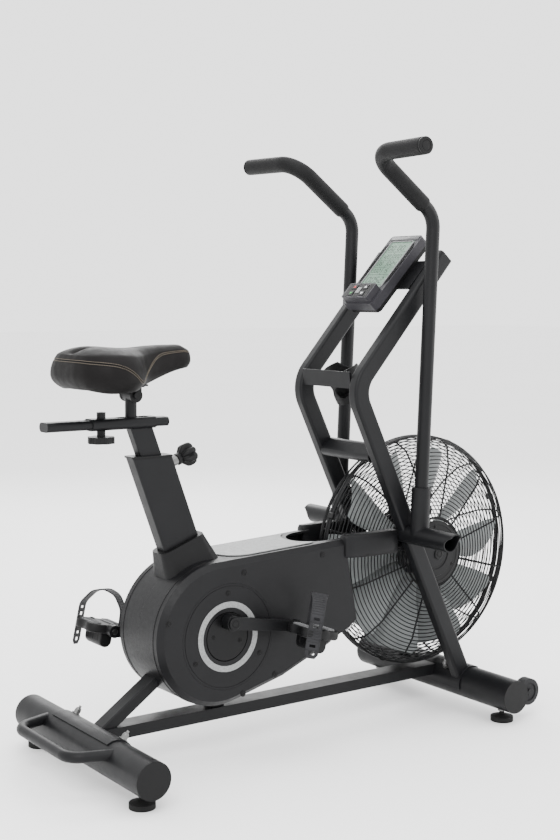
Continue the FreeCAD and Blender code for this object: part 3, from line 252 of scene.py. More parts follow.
def rounded(points, radius, steps=12):
    """A run of straight lines with its corners turned into arcs."""
    points = [Vector(p) for p in points]
    path = [points[0]]
    for a, b, c in zip(points, points[1:], points[2:]):
        u, v = (a - b).normalized(), (c - b).normalized()
        half = u.angle(v) / 2
        centre = b + (u + v).normalized() * radius / math.sin(half)
        first, last = ((b + w * radius / math.tan(half) - centre).normalized() for w in (u, v))
        path += [centre + first.slerp(last, k / steps) * radius for k in range(steps + 1)]
    return path + [points[-1]]


def evenly(path, gap):
    """Points every gap along a path, its two ends included."""
    lengths = [(b - a).length for a, b in zip(path, path[1:])]
    total, count = sum(lengths), max(2, round(sum(lengths) / gap))
    out, walked, index = [], 0.0, 0
    for k in range(count + 1):
        goal = total * k / count
        while index < len(lengths) - 1 and walked + lengths[index] < goal:
            walked += lengths[index]
            index += 1
        share = (goal - walked) / lengths[index]
        out.append(path[index].lerp(path[index + 1], min(share, 1)))
    return out


class Shape:
    """Points, in the part's millimetres, and faces of one piece."""

    def __init__(self):
        self.points, self.faces = [], []

    def grid(self, rows, caps=True, loop=False, closed=True):
        """Rows of points joined by quads.

        closed joins each row's ends, and loop joins the last row to the first.
        """
        start, wide, count = len(self.points), len(rows[0]), len(rows)
        for row in rows:
            self.points.extend(Vector(p) for p in row)
        for r in range(count if loop else count - 1):
            for c in range(wide if closed else wide - 1):
                here, there = start + r * wide, start + (r + 1) % count * wide
                d = (c + 1) % wide
                self.faces.append((here + c, here + d, there + d, there + c))
        if caps and not loop:
            self.faces.append(tuple(start + c for c in reversed(range(wide))))
            self.faces.append(tuple(start + (count - 1) * wide + c for c in range(wide)))
        return self

    def tube(self, path, radius, sides=10, loop=False):
        """A round bar along a path; radius is one number or one for each point."""
        rows, normal, count = [], None, len(path)
        for i, point in enumerate(path):
            before = path[i - 1] if i or loop else point
            after = path[(i + 1) % count] if i < count - 1 or loop else point
            ahead = (after - before).normalized()
            normal = ahead.orthogonal() if normal is None else normal
            normal = (normal - ahead * normal.dot(ahead)).normalized()
            side = ahead.cross(normal)
            r = radius[i] if isinstance(radius, list) else radius
            rows.append([point + (normal * math.cos(a) + side * math.sin(a)) * r
                         for a in (2 * math.pi * k / sides for k in range(sides))])
        return self.grid(rows, loop=loop)

    def lathe(self, centre, axis, profile, sides=32, lobes=0, depth=0.0):
        """A turned shape: (radius, distance along the axis) pairs, with lobes round it if asked."""
        axis = Vector(axis).normalized()
        normal = axis.orthogonal().normalized()
        side = axis.cross(normal)
        rows = [[Vector(centre) + axis * along + (normal * math.cos(a) + side * math.sin(a))
                 * max(r * (1 - depth * (0.5 - 0.5 * math.cos(lobes * a)) ** 2), 0.02)
                 for a in (2 * math.pi * k / sides for k in range(sides))] for r, along in profile]
        return self.grid(rows)

    def block(self, low, high, edge=0.6):
        """A box with chamfered edges."""
        rows = []
        (x0, y0, z0), (x1, y1, z1) = low, high
        for z, inset in ((z0, edge), (z0 + edge, 0), (z1 - edge, 0), (z1, edge)):
            rows.append([(x, y, z) for x, y in (
                (x0 + edge, y0 + inset), (x1 - edge, y0 + inset),
                (x1 - inset, y0 + edge), (x1 - inset, y1 - edge),
                (x1 - edge, y1 - inset), (x0 + edge, y1 - inset),
                (x0 + inset, y1 - edge), (x0 + inset, y0 + edge))])
        return self.grid(rows)

    def moved(self, change, start=0):
        """Every point from start on goes through the function change."""
        self.points[start:] = [change(p) for p in self.points[start:]]
        return self

    def mirrored(self):
        """The shape again on the other side of the middle plane."""
        count = len(self.points)
        self.points += [Vector((p.x, -p.y, p.z)) for p in self.points]
        self.faces += [tuple(i + count for i in reversed(f)) for f in self.faces]
        return self

    def piece(self, name, material, body, slot, replaces=(), sharp=35):
        mesh = bpy.data.meshes.new(name)
        mesh.from_pydata([at(*p) for p in self.points], [], self.faces)
        bm = bmesh.new()
        bm.from_mesh(mesh)
        bmesh.ops.recalc_face_normals(bm, faces=bm.faces)
        bm.to_mesh(mesh)
        bm.free()
        mesh.polygons.foreach_set("use_smooth", [True] * len(mesh.polygons))
        mesh.set_sharp_from_angle(angle=math.radians(sharp))
        mesh.materials.append(material)
        thing = bpy.data.objects.new(name, mesh)
        bpy.context.scene.collection.objects.link(thing)
        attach(thing, body)
        if replaces:
            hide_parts(*replaces)
        return thing


def turned(shape, start, centre, axis, degrees):
    """Turns a shape's points from start on about a line."""
    turn, centre = Matrix.Rotation(math.radians(degrees), 3, axis), Vector(centre)
    shape.moved(lambda p: centre + turn @ (p - centre), start)


def bell(value, middle, width):
    """A smooth bump, 1 at the middle, that fades out over a few widths."""
    return math.exp(-((value - middle) / width) ** 2)


# --------------------------------------------------------------------- saddle

SADDLE_LOW, SADDLE_HIGH = 818.5, 905
SADDLE_RIM, SADDLE_EDGE = 0.8, 0.15      # where the side turns into the top: share of height, of inset
SADDLE_SPINE = (-462, -268)              # the line on the middle plane that the insets run towards
SADDLE_SIDE = [(-540, 0), (-539.6, 26), (-537.5, 52), (-527, 86), (-497, 118), (-462, 125), (-430, 117),
               (-403, 95), (-378, 66), (-342, 48), (-300, 39), (-266, 33), (-246, 20), (-238, 0)]
STITCH_SIDE, STITCH_GAP = 0.032, 1.3     # thread from the seam, as a share of height; step along it


def saddle_outline(steps=14):
    """The outline from above: a smooth closed curve through the points of SADDLE_SIDE."""
    loop = SADDLE_SIDE + [(x, -y) for x, y in SADDLE_SIDE[-2:0:-1]]
    count, out = len(loop), []
    for i in range(count):
        a, b, c, d = (Vector(loop[(i + k) % count]) for k in (-1, 0, 1, 2))
        for k in range(steps):
            t = k / steps
            out.append(0.5 * (2 * b + (c - a) * t + (2 * a - 5 * b + 4 * c - d) * t ** 2
                              + (3 * b - a - 3 * c + d) * t ** 3))
    return out


def saddle_skin(edge, fraction, depth=0.0):
    """The cushion's side, from its bottom edge (0) to its top edge (1)."""
    tuck_under = 0.24 * max(0, 1 - fraction / 0.42) ** 2
    inset = tuck_under + SADDLE_EDGE * max(0, (fraction - 0.45) / 0.55) ** 2
    low, high = saddle_levels(edge.x)
    low -= saddle_sag(edge, inset)
    return saddle_point(edge, inset, low + (high - low) * SADDLE_RIM * fraction, depth)


def saddle_levels(x):
    """Heights of the underside and of the crown; the nose rises below and dips above."""
    low = SADDLE_LOW + 38 * smooth_step(x, -415, -250)
    high = SADDLE_HIGH - 5 * bell(x, -395, 45) - 5 * smooth_step(x, -275, -238)
    return low, high


def saddle_sag(edge, inset):
    """How far the side lobes hang below the middle of the underside."""
    return 9 * smooth_step(abs(edge.y) * (1 - inset), 45, 112)


def saddle_point(edge, inset, z, depth=0.0):
    """A point at height z, inset from the outline by a share and by a depth in millimetres."""
    spine = Vector((min(max(edge.x, SADDLE_SPINE[0]), SADDLE_SPINE[1]), 0))
    inwards = spine - edge
    flat = edge + inwards * inset + inwards.normalized() * depth
    return Vector((flat.x, flat.y, z))


def seam_height(x):
    """The seam's height as a share of the side: it dips at the waist."""
    return (0.84 - 0.46 * bell(x, -402, 40) - 0.08 * smooth_step(x, -520, -440)
            + 0.16 * smooth_step(x, -390, -320))


def saddle_top(edge, share):
    """The crowned top, from its rim (0) to its middle (1), with a valley along the rear."""
    low, high = saddle_levels(edge.x)
    crown = SADDLE_RIM + (1 - SADDLE_RIM) * (1 - (1 - share) ** 2.6)
    point = saddle_point(edge, SADDLE_EDGE + (0.985 - SADDLE_EDGE) * share, low + (high - low) * crown)
    point.z -= 10 * bell(point.y, 0, 12) * smooth_step(-point.x, 395, 470) * smooth_step(share, 0, 0.3)
    return point


def saddle_rows(edges):
    """The cushion's skin, ring by ring: underside, side, sunk seam, side again and top."""
    rows = [[saddle_point(e, inset, saddle_levels(e.x)[0] + 1.5 - saddle_sag(e, inset)) for e in edges]
            for inset in (0.97, 0.6, 0.45, 0.32)]
    for g in (0, 0.05, 0.12, 0.22, 0.34, 0.48, 0.62, 0.76, 0.88, 0.95):
        rows.append([saddle_skin(e, g * (seam_height(e.x) - 0.02)) for e in edges])
    for step, depth in ((-0.012, 0.5), (0, 1.5), (0.012, 0.5)):
        rows.append([saddle_skin(e, seam_height(e.x) + step, depth) for e in edges])
    for g in (0.06, 0.2, 0.36, 0.52, 0.68, 0.84, 1):
        rows.append([saddle_skin(e, seam_height(e.x) + 0.02 + (0.98 - seam_height(e.x)) * g) for e in edges])
    return rows + [[saddle_top(e, share) for e in edges]
                   for share in (0.04, 0.09, 0.16, 0.24, 0.34, 0.46, 0.6, 0.74, 0.88, 1)]


def saddle_cover(edges):
    rows = saddle_rows(edges)
    shape = Shape().grid(rows, caps=False)
    count = len(edges)
    for start, flip in ((0, True), ((len(rows) - 1) * count, False)):
        for i in range(count // 2):
            ring = (i, i + 1, count - i - 1, (count - i) % count)
            face = tuple(start + k for k in dict.fromkeys(ring))
            shape.faces.append(face[::-1] if flip else face)
    cushion = shape.piece("saddle_cover", FINISHES["saddle_leather"], "saddle", "saddle_leather",
                          ["saddle_cushion"], sharp=80)


def saddle_stitches(edges):
    """A row of thread on each side of the seam."""
    thread = Shape()
    for offset in (-STITCH_SIDE, STITCH_SIDE):
        loop = [saddle_skin(e, seam_height(e.x) + offset, -0.25) for e in edges]
        line = evenly(loop + loop[:1], STITCH_GAP)
        for i in range(0, len(line) - 3, 4):
            thread.tube(line[i:i + 4], [0.25, 0.55, 0.55, 0.25], 6)
    thread.piece("saddle_stitches", THREAD, "saddle", "saddle_leather")


def saddle_pan(edges):
    rows = [[saddle_point(e, inset, saddle_levels(e.x)[0] + z) for e in edges]
            for inset, z in ((0.5, 2), (0.5, -1.5), (0.3, -1.5), (0.22, 0), (0.2, 3))]
    pan = Shape().grid(rows, caps=False)
    pan.piece("saddle_pan", FINISHES["black_plastic"], "saddle", "black_plastic")


def saddle():
    edges = saddle_outline()
    saddle_cover(edges)
    saddle_stitches(edges)
    saddle_pan(edges)


# ---------------------------------------------------------------------- grips

GRIP_R = 19.5
ARM_BEND, ARM_CORNER = Vector((333, -150, 1196)), Vector((156, -150, 1328))
ARM_TIP = Vector((147, -330, 1330))
CORNER_R, GRIP_START = 58, 36            # GRIP_START: from the bend to the sleeve's lower end


def grips():
    """A foam sleeve and its end plug on each hand arm."""
    start = ARM_BEND + (ARM_CORNER - ARM_BEND).normalized() * GRIP_START
    path = evenly(rounded([start, ARM_CORNER, ARM_TIP], CORNER_R, 24), 3)
    for side, name in ((1, "right"), (-1, "left")):
        foam, plug = Shape(), Shape()
        line = [Vector((p.x, p.y * side, p.z)) for p in path]
        ahead = (line[-1] - line[-2]).normalized()
        line[-1] = line[-1] - ahead * 0.4
        radii = [GRIP_R] * len(line)
        radii[:3], radii[-2:] = [16.3, 18.6, 19.3], [19.2, 17.6]
        foam.tube(line, radii, 36)
        grip = foam.piece("grip_sleeve_" + name, FINISHES["grip_foam"], "arm_" + name, "grip_foam",
                          ["hand_grip_" + name], sharp=60)
        plug.lathe(line[-1], ahead, [(19, -0.6), (19.2, 0.6), (19.2, 2.6), (18.2, 4), (12.6, 4.2), (12, 3.3),
                                     (10.6, 3.3), (10, 4.1), (0, 4.3)], 36)
        plug.piece("grip_plug_" + name, FINISHES["black_plastic"], "arm_" + name, "grip_foam")


# ------------------------------------------------------------- fan and its cage

FAN = Vector((415, 0, 388))
CAGE_ROUTE = [(84, 68), (215, 60), (260, 43), (277, 15), (277, 3)]     # (radius, distance to the side)
SPOKES, SPOKE_R, WIRE_R = 12, 2.1, 1.4
CLIPS = 8
BLADES, BLADE_ROOT, BLADE_TIP = 10, 62, 250
BLADE_THICK, BLADE_PITCH = 1.6, 35


def circle(radius, y, sides=120):
    """A ring of points round the fan's axis."""
    return [FAN + Vector((radius * math.cos(a), y, radius * math.sin(a)))
            for a in (2 * math.pi * k / sides for k in range(sides))]


def fan_cage():
    """Radial spokes with ring wires over them, on both sides, and clips round the rim."""
    wires, clips = Shape(), Shape()
    profile = evenly(rounded([(r, -y, 0) for r, y in CAGE_ROUTE], 16, 8), 3)
    for index in range(SPOKES):
        turn = Matrix.Rotation(math.radians(360 / SPOKES * (index + 0.5)), 3, "Y")
        wires.tube([FAN + turn @ p for p in profile], SPOKE_R, 8)
    outer = rounded([(r + 3, -y - 3.2, 0) for r, y in CAGE_ROUTE], 18, 8)
    for p in evenly(outer, 9.3):
        wires.tube(circle(p.x, p.y), WIRE_R, 6, loop=True)
    wires.tube(circle(84, -69), 2.6, 8, loop=True)
    wires.tube(circle(279.5, -3.4), 2.8, 8, loop=True)
    wires.mirrored()
    wires.piece("fan_guard", FINISHES["cage_wire"], "frame", "cage_wire", ["fan_cage"], sharp=60)
    for index in range(CLIPS):
        start = len(clips.points)
        clips.block((273, -9, -8), (283.5, 9, 8), 2)
        turned(clips, start, (0, 0, 0), "Y", 360 / CLIPS * index + 22)
        clips.moved(lambda p: p + FAN, start)
    clips.piece("cage_clips", FINISHES["dark_steel"], "frame", "cage_wire")


def blade_rows():
    """One blade along +X from root to tip, widening outwards and cambered across its chord."""
    upper = [(i / 8, BLADE_THICK / 2 if abs(i) < 8 else 0) for i in range(-8, 9)]
    lower = [(i / 8, -BLADE_THICK / 2) for i in range(7, -8, -1)]
    rows = []
    for k in range(13):
        share = k / 12
        radius = BLADE_ROOT + (BLADE_TIP - BLADE_ROOT) * share
        half = 26 + 42 * smooth_step(share, 0, 0.95) - 9 * smooth_step(share, 0.93, 1)
        camber = 5 + 7 * share
        rows.append([(radius, camber * (v * v - 0.5) + t, v * half) for v, t in upper + lower])
    return rows


def fan_blades():
    vanes, rivets = Shape(), Shape()
    for index in range(BLADES):
        first_vane, first_rivet = len(vanes.points), len(rivets.points)
        vanes.grid(blade_rows())
        for along in (-14, 0, 14):
            rivets.lathe((80, -4.6, along), (0, -1, 0), [(3.2, -1), (3.2, 0.6), (2, 1.6), (0, 1.9)], 12)
        for shape, first in ((vanes, first_vane), (rivets, first_rivet)):
            turned(shape, first, (0, 0, 0), "X", BLADE_PITCH)
            turned(shape, first, (0, 0, 0), "Y", 360 / BLADES * index)
            shape.moved(lambda p: p + FAN, first)
    vanes.piece("fan_vanes", FINISHES["blade_metal"], "fan", "blade_metal", ["fan_blades"], sharp=50)
    rivets.piece("vane_rivets", FINISHES["zinc_steel"], "fan", "zinc_steel")


# --------------------------------------------------------------------- pedals

PEDAL_TILT = 12
PEDAL_IN, PEDAL_OUT = 130, 222           # the body's reach to the side
PEDAL_MIDDLE = (PEDAL_IN + PEDAL_OUT) / 2
BODY_LONG, BODY_WIDE, BODY_WAIST = 50, 47, 9
WEIGHT_R, WEIGHT_DROP = 15, 27
STRAP_IN, STRAP_OUT, STRAP_TOP = PEDAL_IN - 3, PEDAL_OUT + 3, 84
STRAP_LANES = [-15, -13.4, -6.5, 0, 6.5, 13.4, 15]
STRAP_HALF = 1.1                         # half its thickness
STRAP_SLOTS = (-40, -25, 18, 33)         # heights of the slots on the outer side
STRAP_SKEW, STRAP_REACH, STRAP_SHIFT = math.radians(35), 1.06, 1.5


def pedal_pin(name):
    """Where the pedal's own joint stands, in the part's millimetres."""
    joint = next(j for j in frame["joints"] if j["child"] == "pedal_" + name)
    x, _, z = joint["pos_m"]
    return Vector((x * 1000 + ORIGIN_X, 0, z * 1000))


def on_pedal(shape, name):
    """Sets a shape built round the origin on the pedal's pin, at the pedal's tilt."""
    pin = pedal_pin(name)
    shape.moved(lambda p: p + pin)
    turned(shape, 0, pin, "Y", PEDAL_TILT)
    return shape


def superoval(a, b, power, sides, waist=0.0):
    """A rounded rectangle round the origin; waist pinches its front and rear ends."""
    out = []
    for k in range(sides):
        angle = 2 * math.pi * (k + 0.5) / sides
        c, s = math.cos(angle), math.sin(angle)
        x = a * math.copysign(abs(c) ** power, c)
        y = b * math.copysign(abs(s) ** power, s)
        if waist and abs(x) > 0.5 * a:
            x -= math.copysign(waist * bell(y, 0, 15), x)
        out.append((x, y))
    return out


def pedal_body(name, side):
    """The body with its sunk top, and the collars over the two ends of its axle."""
    body, middle, rows = Shape(), side * PEDAL_MIDDLE, []
    for z, inset in ((-10.5, 7), (-10, 3.4), (-8, 1), (-5, 0), (5, 0), (8, 1), (9.6, 3.2), (9.8, 7),
                     (8.8, 9), (8.6, 30)):
        waist = BODY_WAIST if inset < 20 else 0
        outline = superoval(BODY_LONG - inset, BODY_WIDE - inset, 0.58, 96, waist)
        rows.append([(x, y + middle, z) for x, y in outline])
    body.grid(rows)
    body.lathe((0, side * (PEDAL_IN - 8), 0), (0, side, 0), [(9, 0), (12, 2), (12, 10)], 28)
    body.lathe((0, side * PEDAL_OUT, 0), (0, side, 0), [(12, -6), (12, 0.4), (10, 1.4), (0, 1.4)], 28)
    on_pedal(body, name).piece("pedal_body_" + name, FINISHES["black_plastic"], "pedal_" + name,
                               "black_plastic", ["pedal_" + name])


def pedal_highlight_pads(name, side):
    """Two pads on the body's top, each with nine ribs, in a light grey that is a painted highlight on the pedal's
    top.
    """
    highlight_pads, middle = Shape(), side * PEDAL_MIDDLE
    for x in (-25, 25):
        rows = []
        for z, inset in ((8, 0), (10.6, 0), (11.5, 0.8), (11.8, 2)):
            outline = superoval(12.5 - inset, 33 - inset, 0.45, 48)
            rows.append([(u + x, v + middle, z) for u, v in outline])
        highlight_pads.grid(rows)
        for k in range(9):
            y = middle - 28 + 7 * k
            highlight_pads.block((x - 9, y - 1.4, 11.2), (x + 9, y + 1.4, 13.1), 0.7)
    on_pedal(highlight_pads, name).piece("pedal_highlight_pads_" + name, PAINTED_HIGHLIGHT_GREY, "pedal_" + name, "light_trim")


def pedal_weight(name, side):
    """The counterweight under the body, round below, with three raised bands."""
    weight, middle, rows = Shape(), side * PEDAL_MIDDLE, []
    for y, scale in ((-36.5, 0.86), (-35, 0.97), (-32, 1), (32, 1), (35, 0.97), (36.5, 0.86)):
        r = WEIGHT_R * scale
        arc = [(r * math.cos(a), r * math.sin(a) - WEIGHT_DROP)
               for a in (math.pi * (1 + k / 16) for k in range(17))]
        rows.append([(x, y + middle, z) for x, z in arc + [(r, -10), (-r, -10)]])
    weight.grid(rows)
    for y in (-22, 0, 22):
        weight.block((-15.6, middle + y - 1.6, -30), (15.6, middle + y + 1.6, -16), 0.8)
    on_pedal(weight, name).piece("pedal_weight_" + name, FINISHES["black_plastic"], "pedal_" + name,
                                 "black_plastic")


def near_slot(point, reach):
    """Whether a point of the strap's line is on the outer side and within reach of a slot."""
    return point.y > STRAP_OUT - 3 and any(abs(point.z - slot) < reach for slot in STRAP_SLOTS)


def strap_rows():
    """The strap's line over the foot: (point, outwards, places across) at each step."""
    route = [(0, STRAP_IN, 9), (0, STRAP_IN + 2, 46), (0, STRAP_IN + 22, 76), (0, PEDAL_MIDDLE, STRAP_TOP),
             (0, STRAP_OUT - 22, 74), (0, STRAP_OUT, 44), (0, STRAP_OUT, -52)]
    path = evenly(rounded(route, 31), 2)
    rows, last = [], len(path) - 1
    for i, point in enumerate(path):
        ahead = (path[min(i + 1, last)] - path[max(i - 1, 0)]).normalized()
        width = min(1, 0.55 + 0.09 * (last - i))
        if point.z > 60:
            width *= 1 + 0.28 * bell(point.y, PEDAL_MIDDLE, 22)
        rows.append((point, Vector((0, -ahead.z, ahead.y)), [u * width for u in STRAP_LANES]))
    return rows


def strap_band(strap, rows):
    """The strap's two skins with the slots left open, joined along every open edge."""
    wide = len(STRAP_LANES)
    for sign in (1, -1):
        start = len(strap.points)
        for point, out, lanes in rows:
            strap.points += [point + out * STRAP_HALF * sign + Vector((u, 0, 0)) for u in lanes]
        for r in range(len(rows) - 1):
            at_slot = near_slot((rows[r][0] + rows[r + 1][0]) / 2, 3.2)
            lanes = rows[r][2]
            for c in range(wide - 1):
                if at_slot and abs(lanes[c] + lanes[c + 1]) / 2 < 6.5:
                    continue
                a = start + r * wide + c
                face = (a, a + 1, a + 1 + wide, a + wide)
                strap.faces.append(face if sign > 0 else face[::-1])
    half = len(strap.points) // 2
    edges = dict.fromkeys(pair for face in strap.faces if max(face) < half
                          for pair in zip(face, face[1:] + face[:1]))
    strap.faces += [(b, a, a + half, b + half) for a, b in edges if (b, a) not in edges]


def strap_ribs(strap, rows):
    """Ribs across the strap between its slots, and a bead along each edge."""
    for point, out, lanes in rows[4:-8:3]:
        if near_slot(point, 5):
            continue
        half = Vector((abs(lanes[1]) - 1.5, 0, 0))
        strap.tube([point + out * 1.2 - half, point + out * 1.2 + half], 0.9, 6)
    for share in (-14.2 / 15, 14.2 / 15):
        bead = [point + out * STRAP_HALF + Vector((lanes[-1] * share, 0, 0))
                for point, out, lanes in rows[:-2]]
        strap.tube(bead, 0.8, 6)


def toe_strap(name, side):
    """The strap, which crosses the pedal at a slant."""
    strap, rows = Shape(), strap_rows()
    strap_band(strap, rows)
    strap_ribs(strap, rows)
    cos, sin = math.cos(STRAP_SKEW), math.sin(STRAP_SKEW)

    def slanted(p):
        across = STRAP_REACH * (p.y - PEDAL_MIDDLE)
        return Vector((p.x * cos - across * sin,
                       side * (PEDAL_MIDDLE + STRAP_SHIFT + across * cos + p.x * sin), p.z))

    strap.moved(slanted)
    on_pedal(strap, name).piece("toe_strap_" + name, FINISHES["strap_rubber"], "pedal_" + name,
                                "strap_rubber", ["pedal_strap_" + name], sharp=50)


def pedal(name, side):
    pedal_body(name, side)
    pedal_highlight_pads(name, side)
    pedal_weight(name, side)
    toe_strap(name, side)


# -------------------------------------------------------------------- console

CONSOLE = Vector((318, 0, 1062))
CONSOLE_TURN = Matrix.Rotation(math.radians(-46.5), 3, "Y")
CASE_TOP = 17
SCREEN_FACE = CASE_TOP - 3 + 2.4
KEYPAD = -86                             # the key module's middle, along the console
KEY_TOP = CASE_TOP + 14.8 + 4.5
KEYS = (("red", 10, 20), ("green", -10, 20), ("up", 10, -20), ("down", -10, -20))
READINGS = ((72, 30, 15, "00"), (72, -4, 15, "00"), (44, 31, 12, "120"), (44, -8, 12, "000"),
            (20, 31, 12, "08"), (20, -8, 12, "024"), (-4, 31, 12, "000"), (-4, -8, 12, "15"),
            (-34, 24, 18, "0052"))       # place along and across, height, figures
RULES = (59, 32, 8, -17, -50)
SEGMENTS = {"0": "abcdef", "1": "bc", "2": "abged", "4": "fgbc", "5": "afgcd", "8": "abcdefg"}


def on_console(shape):
    """Moves a shape from the console's own axes: x along it, z out of its face."""
    return shape.moved(lambda p: CONSOLE + CONSOLE_TURN @ p)


def digit(shape, along, across, tall, figure):
    """A seven-segment figure; up is along, and its right is towards -across."""
    wide, bar = tall * 0.55, tall * 0.09
    z0, z1 = SCREEN_FACE, SCREEN_FACE + 0.35
    spots = {"a": (tall / 2, 0, 0), "g": (0, 0, 0), "d": (-tall / 2, 0, 0), "b": (tall / 4, -wide / 2, 1),
             "c": (-tall / 4, -wide / 2, 1), "f": (tall / 4, wide / 2, 1), "e": (-tall / 4, wide / 2, 1)}
    for segment in SEGMENTS[figure]:
        u, v, upright = spots[segment]
        du, dv = (tall / 4 - bar * 0.8, bar / 2) if upright else (bar / 2, wide / 2 - bar * 0.8)
        shape.block((along + u - du, across + v - dv, z0), (along + u + du, across + v + dv, z1), 0.1)


def display_marks():
    """The figures on the glass, with the rules between them."""
    marks = Shape()
    for along, across, tall, text in READINGS:
        for k, figure in enumerate(text):
            digit(marks, along, across - k * tall * 0.85, tall, figure)
    for along in RULES:
        marks.block((along - 0.4, -38, SCREEN_FACE), (along + 0.4, 38, SCREEN_FACE + 0.3), 0.1)
    marks.block((-16, -0.4, SCREEN_FACE), (RULES[0], 0.4, SCREEN_FACE + 0.3), 0.1)
    on_console(marks).piece("display_marks", INK, "frame", "screen_glass", sharp=30)


def display_bezel():
    low, high, half, z = -60, 93.5, 41, CASE_TOP + 0.2
    seam = (-40, half, z)
    ring = rounded([seam, (high, half, z), (high, -half, z), (low, -half, z), (low, half, z), seam], 6, 6)
    bezel = Shape().tube(ring, 1.5, 8)
    on_console(bezel).piece("display_bezel", FINISHES["light_trim"], "frame", "light_trim", sharp=60)


def console_vents():
    """Four raised lines down each side of the case."""
    vents = Shape()
    for side in (-1, 1):
        for k in range(4):
            y = side * (46 + 2.6 * k)
            path = [(-52 + 5 * k, y, CASE_TOP), (10, y + side * 0.4, CASE_TOP + 0.2),
                    (88 - 5 * k, y, CASE_TOP)]
            vents.tube([Vector(p) for p in path], 0.9, 6)
    on_console(vents).piece("console_vents", FINISHES["black_plastic"], "frame", "black_plastic", sharp=60)


def console_highlight_brow():
    # painted highlight: the brow is light grey to paint the lit top edge of the console
    brow = Shape().block((97.5, -50, CASE_TOP - 0.5), (110, 50, CASE_TOP + 1.6), 1.2)
    on_console(brow).piece("console_highlight_brow", PAINTED_HIGHLIGHT_GREY, "frame", "light_trim", sharp=60)


def key_arrows():
    """A triangle on each key, away from the keypad's middle."""
    for key, along, across in KEYS:
        sign = 1 if along > 0 else -1
        tip, base = KEYPAD + along + sign * 4, KEYPAD + along - sign * 3
        corners = [(tip, across), (base, across - 5), (base, across + 5)]
        arrow = Shape().grid([[(u, v, z) for u, v in corners] for z in (KEY_TOP - 0.1, KEY_TOP + 0.35)])
        button = "button_" + key
        on_console(arrow).piece("arrow_" + key, ARROWS[key], button, SLOT[button])


def keypad():
    """The dark mat between the keys, and the light plate in its middle."""
    mat = Shape()
    for u, v0, v1 in ((20.5, -9.9, 9.9), (20.5, 30, 43), (20.5, -43, -30), (2.6, 10.4, 29.6),
                      (2.6, -29.6, -10.4)):
        mat.block((KEYPAD - u, v0, 34.4), (KEYPAD + u, v1, 35.5), 0.4)
    on_console(mat).piece("keypad_mat", FINISHES["black_plastic"], "frame", "console_plastic")
    plate = Shape().block((KEYPAD - 9, -7, 35), (KEYPAD + 9, 7, 36.2), 0.8)
    on_console(plate).piece("keypad_plate", FINISHES["light_trim"], "frame", "light_trim")


def console():
    display_marks()
    display_bezel()
    console_vents()
    console_highlight_brow()
    key_arrows()
    keypad()


# ------------------------------------------------------------------ small parts

CRANK = Vector((-196, 0, 272))
THROW_SPREAD = 34                        # the two shaft ends stand this far above and below the crank's axis
SHELL_FACE = 90.8                        # the housing screws' seats, from the middle plane
COVER, COVER_RING = Vector((-194, 0, 272)), 96
SHELL_SCREWS = ((-344, 320), (-152, 408), (62, 424), (-155, 140), (-69, 170))
BAND, BAND_R, BAND_SIDE = Vector((-210, 0, 278)), 157.1, 64
FORK_LEVEL = 435
SEAT_LEAN, SEAT_FOOT = math.radians(20.4), Vector((-338, 0, 665))
CAP_PROFILE = [(13, -3), (13.6, -1), (13.6, 1.4), (12.2, 2.6), (8.4, 2.8), (8, 2), (6.6, 2), (6.2, 2.8),
               (0, 3)]
HUB_PROFILE = [(78, -1), (78.4, 1), (76.5, 3), (70, 3.4), (69, 2.2), (58, 2.2), (56.6, 4.4), (40, 5),
               (38.6, 3.2), (22, 3.2), (21, 4.4), (17, 4.4), (16.6, 0)]


def round_about(centre, radius, degrees, y):
    """A point on a circle about a sideways axis, at the height y on that axis."""
    angle = math.radians(degrees)
    return Vector((centre.x + radius * math.cos(angle), y, centre.z + radius * math.sin(angle)))


def screw_head(heads, wells, centre, axis, size=4.4):
    """A socket-head screw sunk in a dark ring."""
    wells.lathe(centre, axis, [(size + 2.6, -0.6), (size + 2.6, 0.5), (size + 1.6, 0.9), (size + 0.5, 0.3),
                               (size + 0.3, -0.6)], 28)
    heads.lathe(centre, axis, [(size, -0.8), (size, 0.6), (size * 0.85, 1), (size * 0.45, 1),
                               (size * 0.42, 0.1), (0, 0)], 20)


def housing_screws():
    heads, wells = Shape(), Shape()
    for x, z in SHELL_SCREWS:
        screw_head(heads, wells, (x, -SHELL_FACE, z), (0, -1, 0))
    for degrees in (90, 210, 330):
        screw_head(heads, wells, round_about(COVER, COVER_RING, degrees, -SHELL_FACE), (0, -1, 0), 3.4)
    heads.mirrored().piece("housing_screws", FINISHES["dark_steel"], "frame", "dark_steel")
    wells.mirrored().piece("screw_wells", FINISHES["black_plastic"], "frame", "black_plastic")


def housing_seams():
    """The joint lines between the housing's side shells and its middle band."""
    seams = Shape()
    for y in (-BAND_SIDE, BAND_SIDE):
        seams.tube([round_about(BAND, BAND_R, 98 + 2 * k, y) for k in range(79)], 0.9, 6)
    seams.piece("housing_seams", FINISHES["dark_disc"], "frame", "housing_plastic", sharp=60)


def shaft_caps():
    """A dust cap on each end of the crank shaft and of the fan's axle, and the discs' screws."""
    crank, fan, screws, wells = Shape(), Shape(), Shape(), Shape()
    shaft_end, disc_face = (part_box(node)[1].y * 1000 for node in ("crank_shaft", "crank_discs"))
    for side in (-1, 1):
        end = CRANK + Vector((0, side * shaft_end, -side * THROW_SPREAD))
        crank.lathe(end, (0, side, 0), CAP_PROFILE, 36)
    crank.piece("crank_caps", FINISHES["black_plastic"], "crankset", "black_plastic")
    for side in (-1, 1):
        for degrees in (185, 275, 20):
            centre = round_about(CRANK, 35, side * degrees, side * disc_face)
            screw_head(screws, wells, centre, (0, side, 0), 2.6)
    screws.piece("disc_screws", FINISHES["dark_steel"], "crankset", "dark_steel")
    wells.piece("disc_screw_wells", FINISHES["black_plastic"], "crankset", "black_plastic")
    fan.lathe((FAN.x, -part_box("fan_axle")[1].y * 1000, FAN.z), (0, -1, 0), CAP_PROFILE, 36)
    fan.mirrored().piece("axle_caps", FINISHES["black_plastic"], "fan", "black_plastic")


